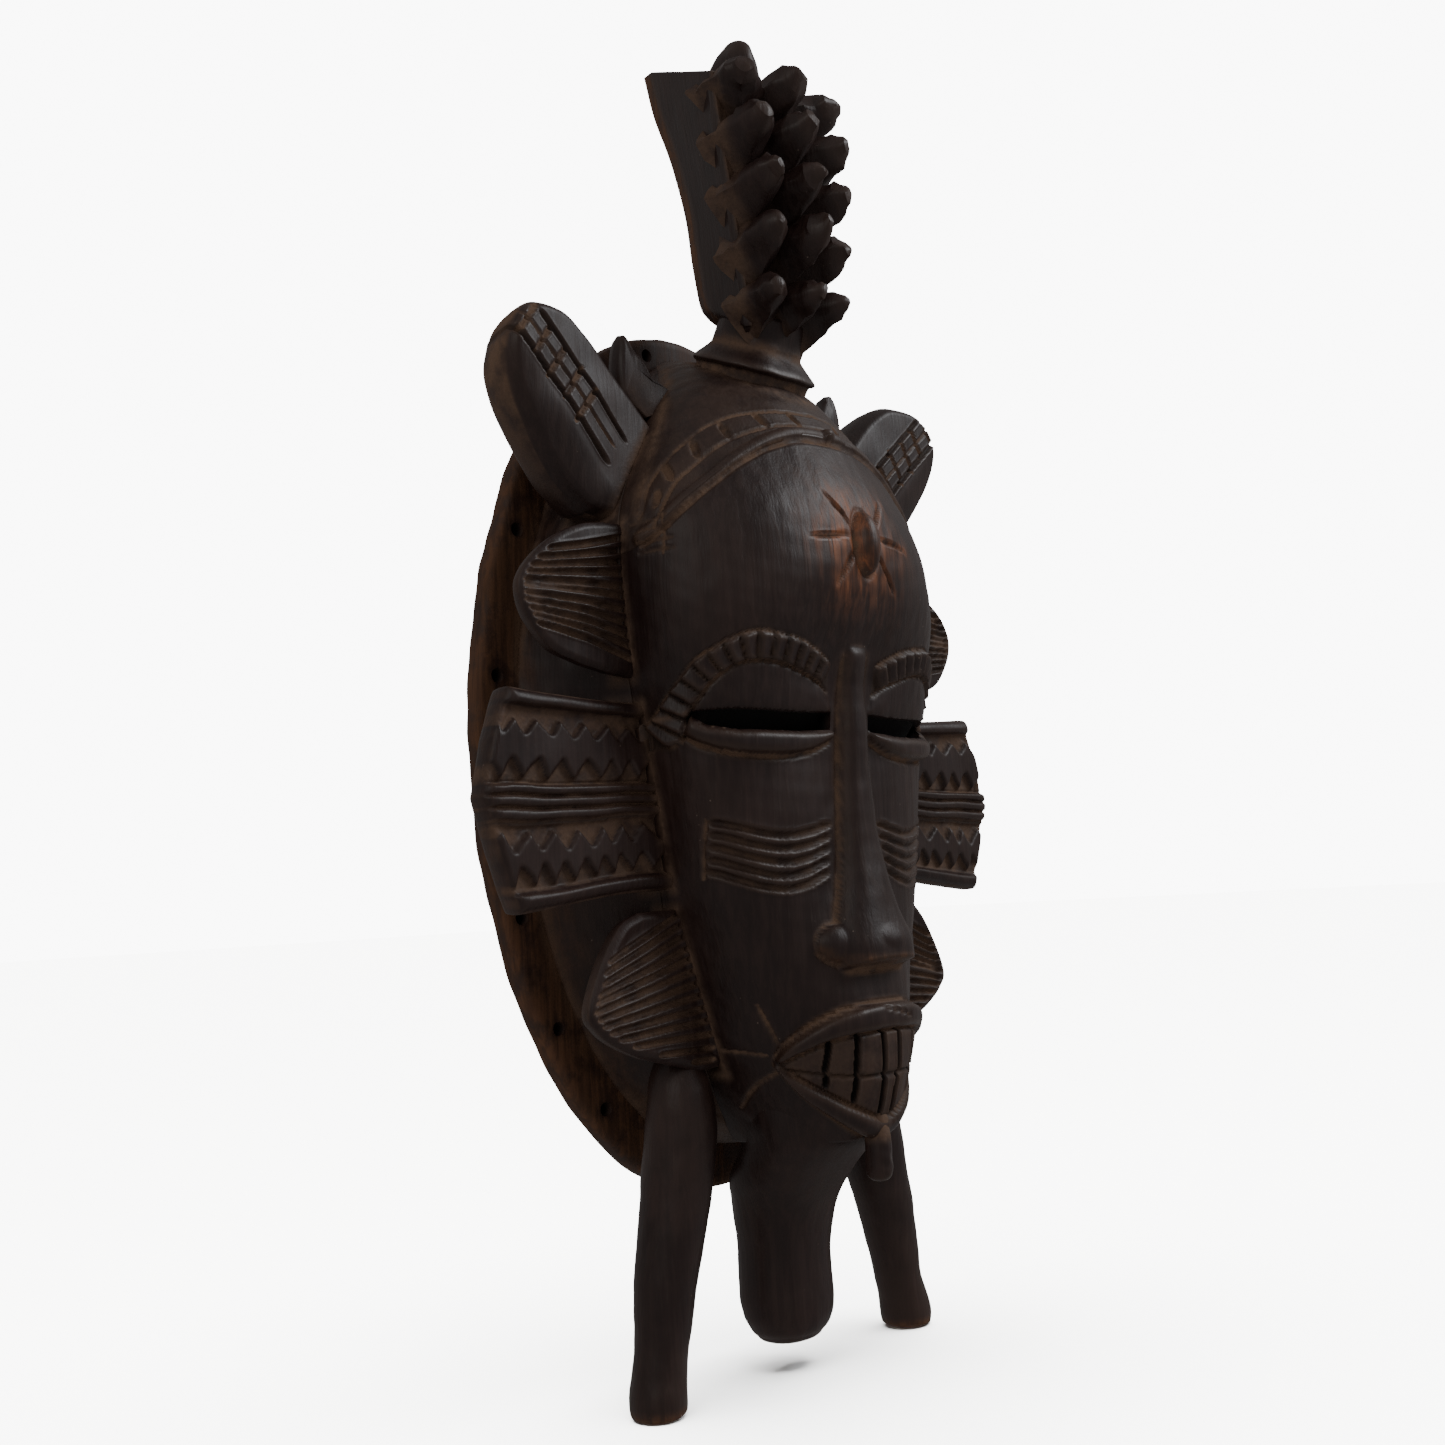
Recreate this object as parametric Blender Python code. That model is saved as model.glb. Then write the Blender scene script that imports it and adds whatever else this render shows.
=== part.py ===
"""Carved wooden face mask with a spiked crest, side plates, two legs and a pierced back flange.

Frame: +Z up, the face looks along -Y, +X is on the viewer's right.  Heights below are measured from the
top edge of the back rim; the origin is ORIGIN_DROP lower, in the middle of the flange's flat back.
Lengths are in millimetres and become metres where the meshes are made.
"""
import math

import bmesh
import bpy
import numpy as np
from mathutils import Matrix, Vector

MM = 0.001
GAP = 0.35                      # clearance between neighbouring carved elements
SEAT = 0.9                      # clearance under an element that stands on the curved face
WALL = 5.0                      # thickness of the hollowed-out wood

RIM_HALF_WIDTH = 73.0
RIM_HALF_HEIGHT = 114.4
RIM_THICKNESS = 4.5
RIM_BAND = 11.5                 # width of the flat flange
RIM_CENTRE_Z = -RIM_HALF_HEIGHT
ORIGIN_DROP = 0.5 * RIM_BAND
TIE_HOLE_RADIUS = 2.6
TIE_HOLE_ANGLES = (10, 28, 45.5, 61, 81.5, 97, 112.5, 129, 145, 161)   # degrees from the top, each side
TIE_HOLE_INSET = 5.6            # from the outer edge of the flange to a hole's axis
BOWL_HALF_WIDTH = RIM_HALF_WIDTH - RIM_BAND
BOWL_HALF_HEIGHT = RIM_HALF_HEIGHT - RIM_BAND
BOWL_FOOT_Y = -RIM_THICKNESS - GAP

CHIN_Z = -213.0
CORNER_Z = -206.0               # where the side walls turn in under the chin
CROWN_TOP_Z = -8.6
WALL_TOP_Z = -15.0
BAND_Z = -42.3                  # lower edge of the headband on the centre line
BAND_DROP = 30.0                # how far that edge falls towards the temples
BAND_HEIGHT = 8.6
SHORTEN_FROM = 56.0             # the left paddle is carved shorter beyond this half-width
SLAB_BACK_TOP = 71.4            # height of the crest slab's sloping top
SLAB_FRONT_TOP = 55.6
EYE_Z = -112.0
EYE_SLIT = 3.4
MOUTH_Z = -192.0
MOUTH_HALF = 21.0

# Horizontal sections of the front of the mask: (height, value).
HALF_WIDTH = ((-8, 6), (-11, 12), (-18, 20), (-27.5, 28.5), (-38, 35.5), (-48, 42), (-62, 49), (-78, 50),
              (-92.5, 49), (-111, 46), (-130, 43), (-155, 38.5), (-173, 33.3), (-190, 27.3), (-202, 22.4),
              (-213, 17))
EDGE_Y = ((-8, -5.6), (-11, -9), (-18, -17), (-27.5, -23.5), (-38, -27), (-48, -29), (-62, -31), (-100, -30),
          (-150, -28), (-213, -26))
FRONT_Y = ((-8, -6.2), (-11, -16), (-14, -25), (-18, -33), (-24, -42), (-30, -48), (-37, -53), (-43, -56.5),
           (-50, -60), (-60, -64), (-70, -65.8), (-80, -65.6), (-88, -63.6), (-96, -60.5), (-104, -58),
           (-113, -57), (-132, -56.7), (-150, -57.2), (-162, -58.5), (-172, -60.3), (-181, -61.7),
           (-190, -62), (-200, -60.5), (-208, -57.5), (-213, -54))
SQUARENESS = ((-8, 2), (-70, 2.1), (-100, 2.8), (-150, 2.8), (-175, 2.2), (-213, 2.0))

STAINED = (0.030, 0.022, 0.018)
WORN = (0.075, 0.045, 0.028)
BARE = (0.120, 0.070, 0.040)


def curve(knots, at):
    """Smooth value through (position, value) knots."""
    k = np.array(sorted(knots), dtype=float)
    x, y = k[:, 0], k[:, 1]
    slope = np.gradient(y, x)
    at = float(np.clip(at, x[0], x[-1]))
    i = int(np.clip(np.searchsorted(x, at) - 1, 0, len(x) - 2))
    h = x[i + 1] - x[i]
    s = (at - x[i]) / h
    near = (2 * s**3 - 3 * s**2 + 1) * y[i] + (s**3 - 2 * s**2 + s) * h * slope[i]
    far = (-2 * s**3 + 3 * s**2) * y[i + 1] + (s**3 - s**2) * h * slope[i + 1]
    return near + far


def bowl_half_width(z):
    """Half-width of the flange's inner edge at height z."""
    q = (z - RIM_CENTRE_Z) / BOWL_HALF_HEIGHT
    return BOWL_HALF_WIDTH * math.sqrt(max(1.0 - q * q, 0.0))


def section(z, inside=False):
    """Half-width, edge y, front y and squareness of the section at height z."""
    w, edge, front = curve(HALF_WIDTH, z), curve(EDGE_Y, z), curve(FRONT_Y, z)
    if inside:
        w = max(w - WALL, 0.5 * w)
        front = min(front + 1.15 * WALL, edge - 0.25)
    return w, edge, front, curve(SQUARENESS, z)


def front_y(x, z, inside=False):
    """The y of the carved front at (x, z)."""
    w, edge, front, n = section(z, inside)
    q = min(abs(x) / w, 1.0)
    return edge - (edge - front) * (1.0 - q**n) ** (1.0 / n)


def skin_x(y, z):
    """Half-width of the mask's body at depth y and height z."""
    w, edge, front, n = section(z)
    if y >= edge:
        return w + (bowl_half_width(z) - w) * min((y - edge) / (BOWL_FOOT_Y - edge), 1.0)
    return w * max(1.0 - ((edge - y) / (edge - front)) ** n, 0.0) ** (1.0 / n)


def crown_z(x, y):
    """Height of the crown under the point (x, y)."""
    low, high = -45.0, -8.0
    for _ in range(40):
        mid = 0.5 * (low + high)
        if abs(x) >= section(mid)[0] or front_y(x, mid) > y:
            high = mid
        else:
            low = mid
    return 0.5 * (low + high)


def band_z(fraction):
    """Lower edge of the headband where x is this fraction of the half-width."""
    return BAND_Z - BAND_DROP * abs(fraction) ** 3


# ---------------------------------------------------------------- mesh helpers

def material(name, colour, roughness=0.5):
    """A plain wood colour for one sub-part."""
    mat = bpy.data.materials.new(name)
    mat.use_nodes = True
    shader = mat.node_tree.nodes["Principled BSDF"]
    shader.inputs["Base Color"].default_value = (*colour, 1.0)
    shader.inputs["Roughness"].default_value = roughness
    shader.inputs["Metallic"].default_value = 0.0
    return mat


def add_object(name, verts, faces, colour=STAINED, smooth=True):
    """Mesh object from millimetre points, faces turned outward."""
    bm = bmesh.new()
    made = [bm.verts.new((Vector(v) + Vector((0.0, 0.0, ORIGIN_DROP))) * MM) for v in verts]
    for face in faces:
        bm.faces.new([made[i] for i in face])
    bmesh.ops.remove_doubles(bm, verts=bm.verts, dist=1e-7)
    bmesh.ops.recalc_face_normals(bm, faces=bm.faces)
    if bm.calc_volume(signed=True) < 0.0:
        bmesh.ops.reverse_faces(bm, faces=bm.faces)
    for face in bm.faces:
        face.smooth = smooth
    mesh = bpy.data.meshes.new(name)
    bm.to_mesh(mesh)
    bm.free()
    mesh.materials.append(material(name + "_wood", colour))
    obj = bpy.data.objects.new(name, mesh)
    bpy.context.scene.collection.objects.link(obj)
    return obj


def layered(name, layers, colour=STAINED, smooth=True):
    """Solid between the first and last grid of points; middle layers only shape the sides."""
    rows, cols = len(layers[0]), len(layers[0][0])
    border = [(0, j) for j in range(cols)] + [(i, cols - 1) for i in range(1, rows)]
    border += [(rows - 1, j) for j in range(cols - 2, -1, -1)] + [(i, 0) for i in range(rows - 2, 0, -1)]
    verts, faces, rings = [], [], []
    for index, grid in enumerate(layers):
        capped = index in (0, len(layers) - 1)
        start = len(verts)
        if capped:
            verts += [grid[i][j] for i in range(rows) for j in range(cols)]
            rings.append([start + i * cols + j for i, j in border])
            for i in range(rows - 1):
                for j in range(cols - 1):
                    a = start + i * cols + j
                    faces.append((a, a + 1, a + cols + 1, a + cols))
        else:
            verts += [grid[i][j] for i, j in border]
            rings.append(list(range(start, start + len(border))))
    for near, far in zip(rings, rings[1:]):
        for k in range(len(border)):
            m = (k + 1) % len(border)
            faces.append((near[k], near[m], far[m], far[k]))
    return add_object(name, verts, faces, colour, smooth)


def stacked(name, rings, colour=STAINED, smooth=True):
    """Solid through a stack of rings, each closed by one flat or fanned cap."""
    count = len(rings[0])
    verts = [p for ring in rings for p in ring]
    faces = [tuple(range(count)), tuple(range(len(verts) - count, len(verts)))]
    for k in range(len(rings) - 1):
        for i in range(count):
            j = (i + 1) % count
            faces.append((k * count + i, k * count + j, (k + 1) * count + j, (k + 1) * count + i))
    return add_object(name, verts, faces, colour, smooth)


def spread(count, squeeze=1.5):
    """Fractions from -1 to 1, closer together towards both ends."""
    out = []
    for i in range(count + 1):
        u = 2.0 * i / count - 1.0
        turn = 90.0 * (1.0 - (1.0 - abs(u)) ** squeeze)
        out.append(math.copysign(math.sin(math.radians(turn)), u) if u else 0.0)
    return out


def mirrored(grid):
    """The same grid of points on the other side of the centre plane."""
    return [[(-x, y, z) for x, y, z in row] for row in grid]


def dome_grid(fractions, tops, bottoms, rows, inside=False, lift=0.0):
    """Points on the carved front between two edges given at each fraction of the half-width."""
    grid = []
    for k in range(rows + 1):
        row = []
        for f, top, bottom in zip(fractions, tops, bottoms):
            z = top + (bottom - top) * k / rows
            x = f * section(z, inside)[0]
            row.append((x, front_y(x, z, inside) - lift, z))
        grid.append(row)
    return grid


def raised(name, grid, lift, colour=STAINED):
    """An element standing on the face: grid of (x, z), lift gives its height at each grid place."""
    under = [[(x, front_y(x, z) - SEAT, z) for x, z in row] for row in grid]
    over = []
    for i, row in enumerate(grid):
        over.append([(x, front_y(x, z) - SEAT - lift(i, j), z) for j, (x, z) in enumerate(row)])
    return layered(name, [over, under], colour)


# ---------------------------------------------------------------- body of the mask

def build_flange():
    """Flat oval flange with a row of tie holes near its edge."""
    steps = 72
    verts, faces = [], []
    for i in range(steps):
        a = math.tau * i / steps
        for half_w, half_h, y in ((RIM_HALF_WIDTH, RIM_HALF_HEIGHT, 0.0),
                                  (RIM_HALF_WIDTH, RIM_HALF_HEIGHT, -RIM_THICKNESS + 1.0),
                                  (RIM_HALF_WIDTH - 1.2, RIM_HALF_HEIGHT - 1.2, -RIM_THICKNESS),
                                  (BOWL_HALF_WIDTH - WALL, BOWL_HALF_HEIGHT - WALL, -RIM_THICKNESS),
                                  (BOWL_HALF_WIDTH - WALL, BOWL_HALF_HEIGHT - WALL, 0.0)):
            verts.append((half_w * math.sin(a), y, RIM_CENTRE_Z + half_h * math.cos(a)))
    for i in range(steps):
        j = (i + 1) % steps
        for k in range(5):
            m = (k + 1) % 5
            faces.append((5 * i + k, 5 * i + m, 5 * j + m, 5 * j + k))
    flange = add_object("rim_flange", verts, faces, WORN, smooth=False)

    verts, faces = [], []
    for degrees in [side * angle for angle in TIE_HOLE_ANGLES for side in (-1, 1)]:
        a = math.radians(degrees)
        cx = (RIM_HALF_WIDTH - TIE_HOLE_INSET) * math.sin(a)
        cz = RIM_CENTRE_Z + (RIM_HALF_HEIGHT - TIE_HOLE_INSET) * math.cos(a)
        base = len(verts)
        sides = 12
        for y in (2.0, -RIM_THICKNESS - 2.0):
            for s in range(sides):
                t = math.tau * (s + 0.5) / sides
                verts.append((cx + TIE_HOLE_RADIUS * math.cos(t), y, cz + TIE_HOLE_RADIUS * math.sin(t)))
        faces.append(tuple(base + s for s in range(sides)))
        faces.append(tuple(base + sides + s for s in range(sides)))
        for s in range(sides):
            t = (s + 1) % sides
            faces.append((base + s, base + t, base + sides + t, base + sides + s))
    cutter = add_object("tie_hole_cutter", verts, faces)
    subtract(flange, cutter)


def subtract(target, cutter):
    """Cut one object out of another and keep the cutter out of the render."""
    cut = target.modifiers.new("cut", "BOOLEAN")
    cut.operation = "DIFFERENCE"
    cut.solver = "EXACT"
    cut.object = cutter
    cutter.hide_render = True
    cutter.display_type = "WIRE"


def bowl_rows():
    """Pairs of front-edge and foot points down the right wall, under the chin and up the left wall."""
    rows = []
    for k in range(23):
        z = WALL_TOP_Z + (CORNER_Z - WALL_TOP_Z) * k / 22
        w, edge = section(z)[:2]
        turn = math.asin(min((RIM_CENTRE_Z - z) / BOWL_HALF_HEIGHT, 1.0))
        inner_w = max(w - WALL, 0.5 * w)
        rows.append(((w, edge, z), (inner_w, edge, z), turn))
    w, edge = section(CORNER_Z)[:2]
    start = rows[-1][2]
    for k in range(1, 5):
        a = 0.5 * math.pi * k / 4
        drop = CHIN_Z + GAP - CORNER_Z
        outer = (w * math.cos(a), edge, CORNER_Z + drop * math.sin(a))
        inner = ((w - WALL) * math.cos(a), edge, CORNER_Z + (drop + WALL) * math.sin(a))
        rows.append((outer, inner, start + (0.5 * math.pi - start) * k / 4))
    return rows


def build_bowl():
    """Side walls from the face down to the flange, joined under the chin."""
    spans = 4
    outer_grid, inner_grid = [], []
    for outer, inner, turn in bowl_rows():
        foot = (BOWL_HALF_WIDTH * math.cos(turn), BOWL_FOOT_Y, RIM_CENTRE_Z - BOWL_HALF_HEIGHT * math.sin(turn))
        heel = ((BOWL_HALF_WIDTH - WALL) * math.cos(turn), BOWL_FOOT_Y,
                RIM_CENTRE_Z - (BOWL_HALF_HEIGHT - WALL) * math.sin(turn))
        for grid, near, far in ((outer_grid, outer, foot), (inner_grid, inner, heel)):
            near = (near[0], near[1] + GAP, near[2])
            grid.append([tuple(n + (f - n) * s / spans for n, f in zip(near, far)) for s in range(spans + 1)])
    for grid in (outer_grid, inner_grid):
        grid += [[(-x, y, z) for x, y, z in row] for row in reversed(grid[:-1])]
    layered("back_bowl", [outer_grid, inner_grid], STAINED)


def build_face():
    """Hollow face from the headband to the chin, with two slits to see through."""
    fractions = spread(24)
    tops = [band_z(f) for f in fractions]
    bottoms = [CHIN_Z] * len(fractions)
    outer = dome_grid(fractions, tops, bottoms, 30)
    inner = dome_grid(fractions, tops, bottoms, 30, inside=True)
    face = layered("face", [outer, inner])
    half = 0.5 * EYE_SLIT
    verts, faces = [], []
    for side in (-1, 1):
        base = len(verts)
        outline = ((7.0, -half), (12.0, -half - 0.2), (34.0, -half + 0.1), (43.2, 0.1), (34.0, half), (7.0, half))
        for y in (-75.0, -33.0):
            verts += [(side * x, y, EYE_Z + z) for x, z in outline]
        n = len(outline)
        faces.append(tuple(base + i for i in range(n)))
        faces.append(tuple(base + n + i for i in range(n)))
        for i in range(n):
            j = (i + 1) % n
            faces.append((base + i, base + j, base + n + j, base + n + i))
    cutter = add_object("eye_slit_cutter", verts, faces)
    subtract(face, cutter)


def build_headband():
    """Raised strip across the top of the forehead."""
    fractions = spread(24)
    bottoms = [band_z(f) + 2 * GAP for f in fractions]
    tops = [b + BAND_HEIGHT for b in bottoms]
    outer = dome_grid(fractions, tops, bottoms, 3, lift=0.8)
    inner = dome_grid(fractions, tops, bottoms, 3, inside=True)
    layered("headband", [outer, inner])


def build_crown():
    """Top of the head, from the headband back to the flange."""
    fractions = spread(24)
    bottoms = [band_z(f) + 4 * GAP + BAND_HEIGHT for f in fractions]
    tops = [CROWN_TOP_Z] * len(fractions)
    outer = dome_grid(fractions, tops, bottoms, 12)
    inner = dome_grid(fractions, tops, bottoms, 12, inside=True)
    layered("crown", [outer, inner])


# ---------------------------------------------------------------- features of the face

def build_nose():
    """Long straight nose that widens into the nostrils."""
    width = ((-96, 3.2), (-113, 4.2), (-132, 5.2), (-150, 7.4), (-158, 10.5), (-164, 15), (-168, 18), (-172, 17.4),
             (-174, 15))
    height = ((-96, 1.0), (-104, 2.6), (-113, 3.6), (-132, 4.2), (-150, 5.6), (-161, 7.2), (-170, 7.8), (-174, 4.6))
    rows, cols = 26, 12
    grid = []
    for i in range(rows + 1):
        z = -96.0 - 78.0 * i / rows
        grid.append([(curve(width, z) * (2.0 * j / cols - 1.0), z) for j in range(cols + 1)])

    def lift(i, j):
        u = abs(2.0 * j / cols - 1.0)
        ridge = curve(height, grid[i][0][1])
        return 0.5 + ridge * max(1.0 - u**1.7, 0.0)
    raised("nose", grid, lift)


def arc_grid(points, half_width, steps):
    """Strip of (x, z) points either side of a bent line."""
    knots_x = [(k, p[0]) for k, p in enumerate(points)]
    knots_z = [(k, p[1]) for k, p in enumerate(points)]
    grid = []
    for i in range(steps + 1):
        s = (len(points) - 1) * i / steps
        x, z = curve(knots_x, s), curve(knots_z, s)
        dx = curve(knots_x, s + 0.05) - curve(knots_x, s - 0.05)
        dz = curve(knots_z, s + 0.05) - curve(knots_z, s - 0.05)
        size = math.hypot(dx, dz)
        half = half_width(i / steps)
        grid.append([(x - dz / size * half * v, z + dx / size * half * v) for v in (-1.0, -0.5, 0.0, 0.5, 1.0)])
    return grid


def build_eyes():
    """Arched brows and the lower lids."""
    brow = ((-11, -99.5), (-20.4, -97.2), (-30, -97), (-37, -99.8), (-40.8, -105.5), (-42.2, -114.5))
    lid = ((-7.2, -116.6), (-18, -118.2), (-29, -118.0), (-35, -116.8), (-39, -115.4))
    crest = (0.0, 1.0, 1.3, 1.0, 0.0)
    for side, word in ((1, "left"), (-1, "right")):
        grid = [[(side * x, z) for x, z in row] for row in arc_grid(brow, lambda s: 4.4 - 2.9 * abs(s) ** 2, 18)]
        raised("brow_" + word, grid, lambda i, j: 0.7 + crest[j])
        grid = [[(side * x, z) for x, z in row]
                for row in arc_grid(lid, lambda s: 0.9 + 1.5 * math.sin(math.pi * s), 14)]
        raised("lower_lid_" + word, grid, lambda i, j: 0.7 + crest[j])


def mouth_line(u, depth, power):
    """Height of a mouth curve at u from -1 to 1, falling or rising to the corners."""
    return MOUTH_Z + depth * (1.0 - abs(u) ** power)


def build_mouth():
    """Lips, two rows of teeth and the peg under the lower lip."""
    cols = 20
    across = [2.0 * j / cols - 1.0 for j in range(cols + 1)]
    inner_half = MOUTH_HALF - 3.6
    grid = []
    for i in range(5):
        v = i / 4
        grid.append([((MOUTH_HALF * (1 - v) + inner_half * v) * u,
                      mouth_line(u, 10.8 * (1 - v) + 4.6 * v, 2.0) + 0.4) for u in across])
    profile = (0.6, 2.6, 3.2, 2.8, 1.2)
    raised("upper_lip", grid, lambda i, j: profile[i])
    grid = []
    for i in range(5):
        v = i / 4
        grid.append([((MOUTH_HALF * (1 - v) + inner_half * v) * u,
                      mouth_line(u, -19.5 * (1 - v) - 14.2 * v, 1.25) - 0.4) for u in across])
    raised("lower_lip", grid, lambda i, j: profile[i])
    reach = inner_half - 1.2
    for name, sign, depth, power in (("teeth_upper", 1, 4.1, 2.0), ("teeth_lower", -1, -13.6, 1.25)):
        grid = []
        middle = MOUTH_Z - 4.2
        for i in range(4):
            v = i / 3
            row = []
            for u in across:
                far = mouth_line(u, depth, power)
                near = max(min(middle, mouth_line(u, 3.6, 2.0)), mouth_line(u, -13.0, 1.25)) + sign * 0.25
                row.append((reach * u, far + (near - far) * v + (0.001 * sign * (1 - v))))
            grid.append(row)
        raised(name, trimmed(grid), lambda i, j: 1.9)
    rings = []
    for z, r in ((-212.6, 2.6), (-214.0, 3.1), (-220.0, 3.3), (-221.8, 2.7), (-222.6, 1.4)):
        rings.append([(r * math.cos(t), -57.4 + r * math.sin(t), z)
                      for t in (math.tau * s / 12 for s in range(12))])
    stacked("tongue_peg", rings)


def trimmed(grid):
    """Leave out the columns at both ends where the strip is too thin to be wood."""
    keep = [j for j in range(len(grid[0])) if abs(grid[0][j][1] - grid[-1][j][1]) > 1.2]
    return [[row[j] for j in keep] for row in grid]


def build_boss():
    """Almond-shaped boss in the middle of the forehead."""
    grid = []
    for i in range(9):
        a = math.pi * (i + 0.35) / 8.7
        half = 3.3 * math.sin(a)
        grid.append([(half * v, -69.6 + 9.4 * math.cos(a)) for v in (-1.0, -0.6, 0.0, 0.6, 1.0)])
    heights = (0.4, 2.0, 3.0, 2.0, 0.4)
    raised("forehead_boss", grid, lambda i, j: heights[j] * math.sin(math.pi * (i + 0.6) / 9.2) + 0.4, WORN)


# ---------------------------------------------------------------- plates, paddles and horns

def plate(name, outline, root, front, back, shrink=0.0, left_reach=1.0, colour=STAINED):
    """Plate standing out from the side of the head; root gives the heights where it meets the head."""
    rings = []
    for y, inset in ((front, 0.6), (front + 0.8, 0.0), (back - 1.0, shrink), (back, shrink + 0.8)):
        ring = []
        cx = sum(p[0] for p in outline) / len(outline)
        cz = sum(p[1] for p in outline) / len(outline)
        for x, z in outline:
            reach = math.hypot(x - cx, z - cz)
            ring.append((x - (x - cx) / reach * inset, y, z - (z - cz) / reach * inset))
        for z in root:
            ring.append((skin_x(y, z) + 2.2 * GAP, y, z))
        rings.append(ring)
    for side, word, reach in ((-1, "left", left_reach), (1, "right", 1.0)):
        sized = [[(side * (x if x < SHORTEN_FROM else SHORTEN_FROM + (x - SHORTEN_FROM) * reach), y, z)
                  for x, y, z in ring] for ring in rings]
        stacked(name + "_" + word, sized, colour, smooth=False)


def build_plates():
    """Three plates down each side, with the paddle and a small horn above them."""
    plate("upper_leaf", ((54.5, -64.8), (61, -66), (68, -69), (74.5, -73.5), (79.2, -78.6), (80.7, -83),
                         (78.8, -89), (72.5, -95.8), (64, -98.8), (55, -100.6)), (-101.5, -94, -86, -78, -70, -64.5),
          -32.2, -26.5)
    plate("wing", ((60, -107.4), (73, -106.7), (85.0, -105.8), (89.2, -117), (92.6, -129.8), (88.6, -142.5), (84, -155.0),
                   (70, -153.4), (55, -151.6)), (-150.6, -143, -135, -127, -119, -107.9), -32.6, -25.0)
    plate("lower_leaf", ((49.5, -156.4), (55.5, -159.2), (61.5, -167), (66.2, -177.6), (63.8, -182.2), (59, -185.6),
                         (51.5, -189), (41, -191.8), (32, -194.4)), (-196, -188, -180, -172, -164, -156),
          -32.6, -27.0)
    plate("paddle", ((46, -31.6), (55, -23.2), (62.5, -16.2), (68, -13.6), (75, -13.6), (81, -17.4), (84.2, -24.6),
                     (82.6, -33), (76, -43), (66, -53.5), (55, -61.2)), (-62.8, -56, -49, -41.6),
          -29.0, -14.5, shrink=3.0, left_reach=0.78)
    rings = []
    for y, k in ((-26.5, 0.82), (-24.0, 1.0), (-20.5, 0.86)):
        base = ((skin_x(y, -26.0) + 0.9, -26.0), (skin_x(y, -33.0) + 1.2, -33.0))
        tip = ((41.2, -29.5), (41.6, -20.0), (40.4, -14.0), (37.6, -15.4), (33.2, -19.8))
        middle = (37.0, -24.0)
        ring = [(middle[0] + (x - middle[0]) * k, y, middle[1] + (z - middle[1]) * k) for x, z in tip]
        ring += [(x, y, z) for x, z in base]
        rings.append(ring)
    for side, word in ((-1, "left"), (1, "right")):
        stacked("horn_" + word, [[(side * x, y, z) for x, y, z in ring] for ring in rings], smooth=False)


# ---------------------------------------------------------------- chin post and legs

def build_post():
    """Blunt post that carries on down from the chin."""
    rings = []
    for z, half_w, back, front in ((-213.4, 16.6, -26.6, -53.0), (-216, 17.2, -22.5, -49.8),
                                   (-222, 16.8, -15.5, -43.5), (-229, 14.4, -14.6, -38.5),
                                   (-238, 12.8, -15.2, -35.8), (-248, 12.6, -15.0, -35.4),
                                   (-256, 12.6, -15.8, -35.4), (-261, 10.0, -18.2, -33.4),
                                   (-263.4, 5.6, -21.8, -29.8)):
        middle, half_d = 0.5 * (back + front), 0.5 * (back - front)
        rings.append([(half_w * math.cos(t), middle + half_d * math.sin(t), z)
                      for t in (math.tau * s / 20 for s in range(20))])
    stacked("chin_post", rings)


def build_legs():
    """Two round legs that splay outward, each ending in a flared foot."""
    stations = ((-198, 34.6, -26.5, 6.6, 7.0), (-206, 34.2, -25.9, 8.3, 8.4), (-214, 35.0, -25.6, 8.6, 8.6),
                (-223, 36.8, -25.5, 8.4, 8.4), (-241, 41.3, -25.5, 7.4, 7.4), (-256, 43.8, -25.6, 6.3, 6.3),
                (-266, 45.6, -25.9, 6.7, 6.7), (-269.5, 45.9, -26.0, 6.2, 6.2))
    for side, word in ((-1, "left"), (1, "right")):
        rings = []
        for z, x, y, rx, ry in stations:
            rings.append([(side * (x + rx * math.cos(t)), y + ry * math.sin(t), z)
                          for t in (math.tau * s / 16 for s in range(16))])
        stacked("leg_" + word, rings)


# ---------------------------------------------------------------- crest

SLOPE = Vector((0.0, -0.913, -0.408))      # down the crown towards the face
LIFT = Vector((0.0, -0.408, 0.913))        # straight off the crown


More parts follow.
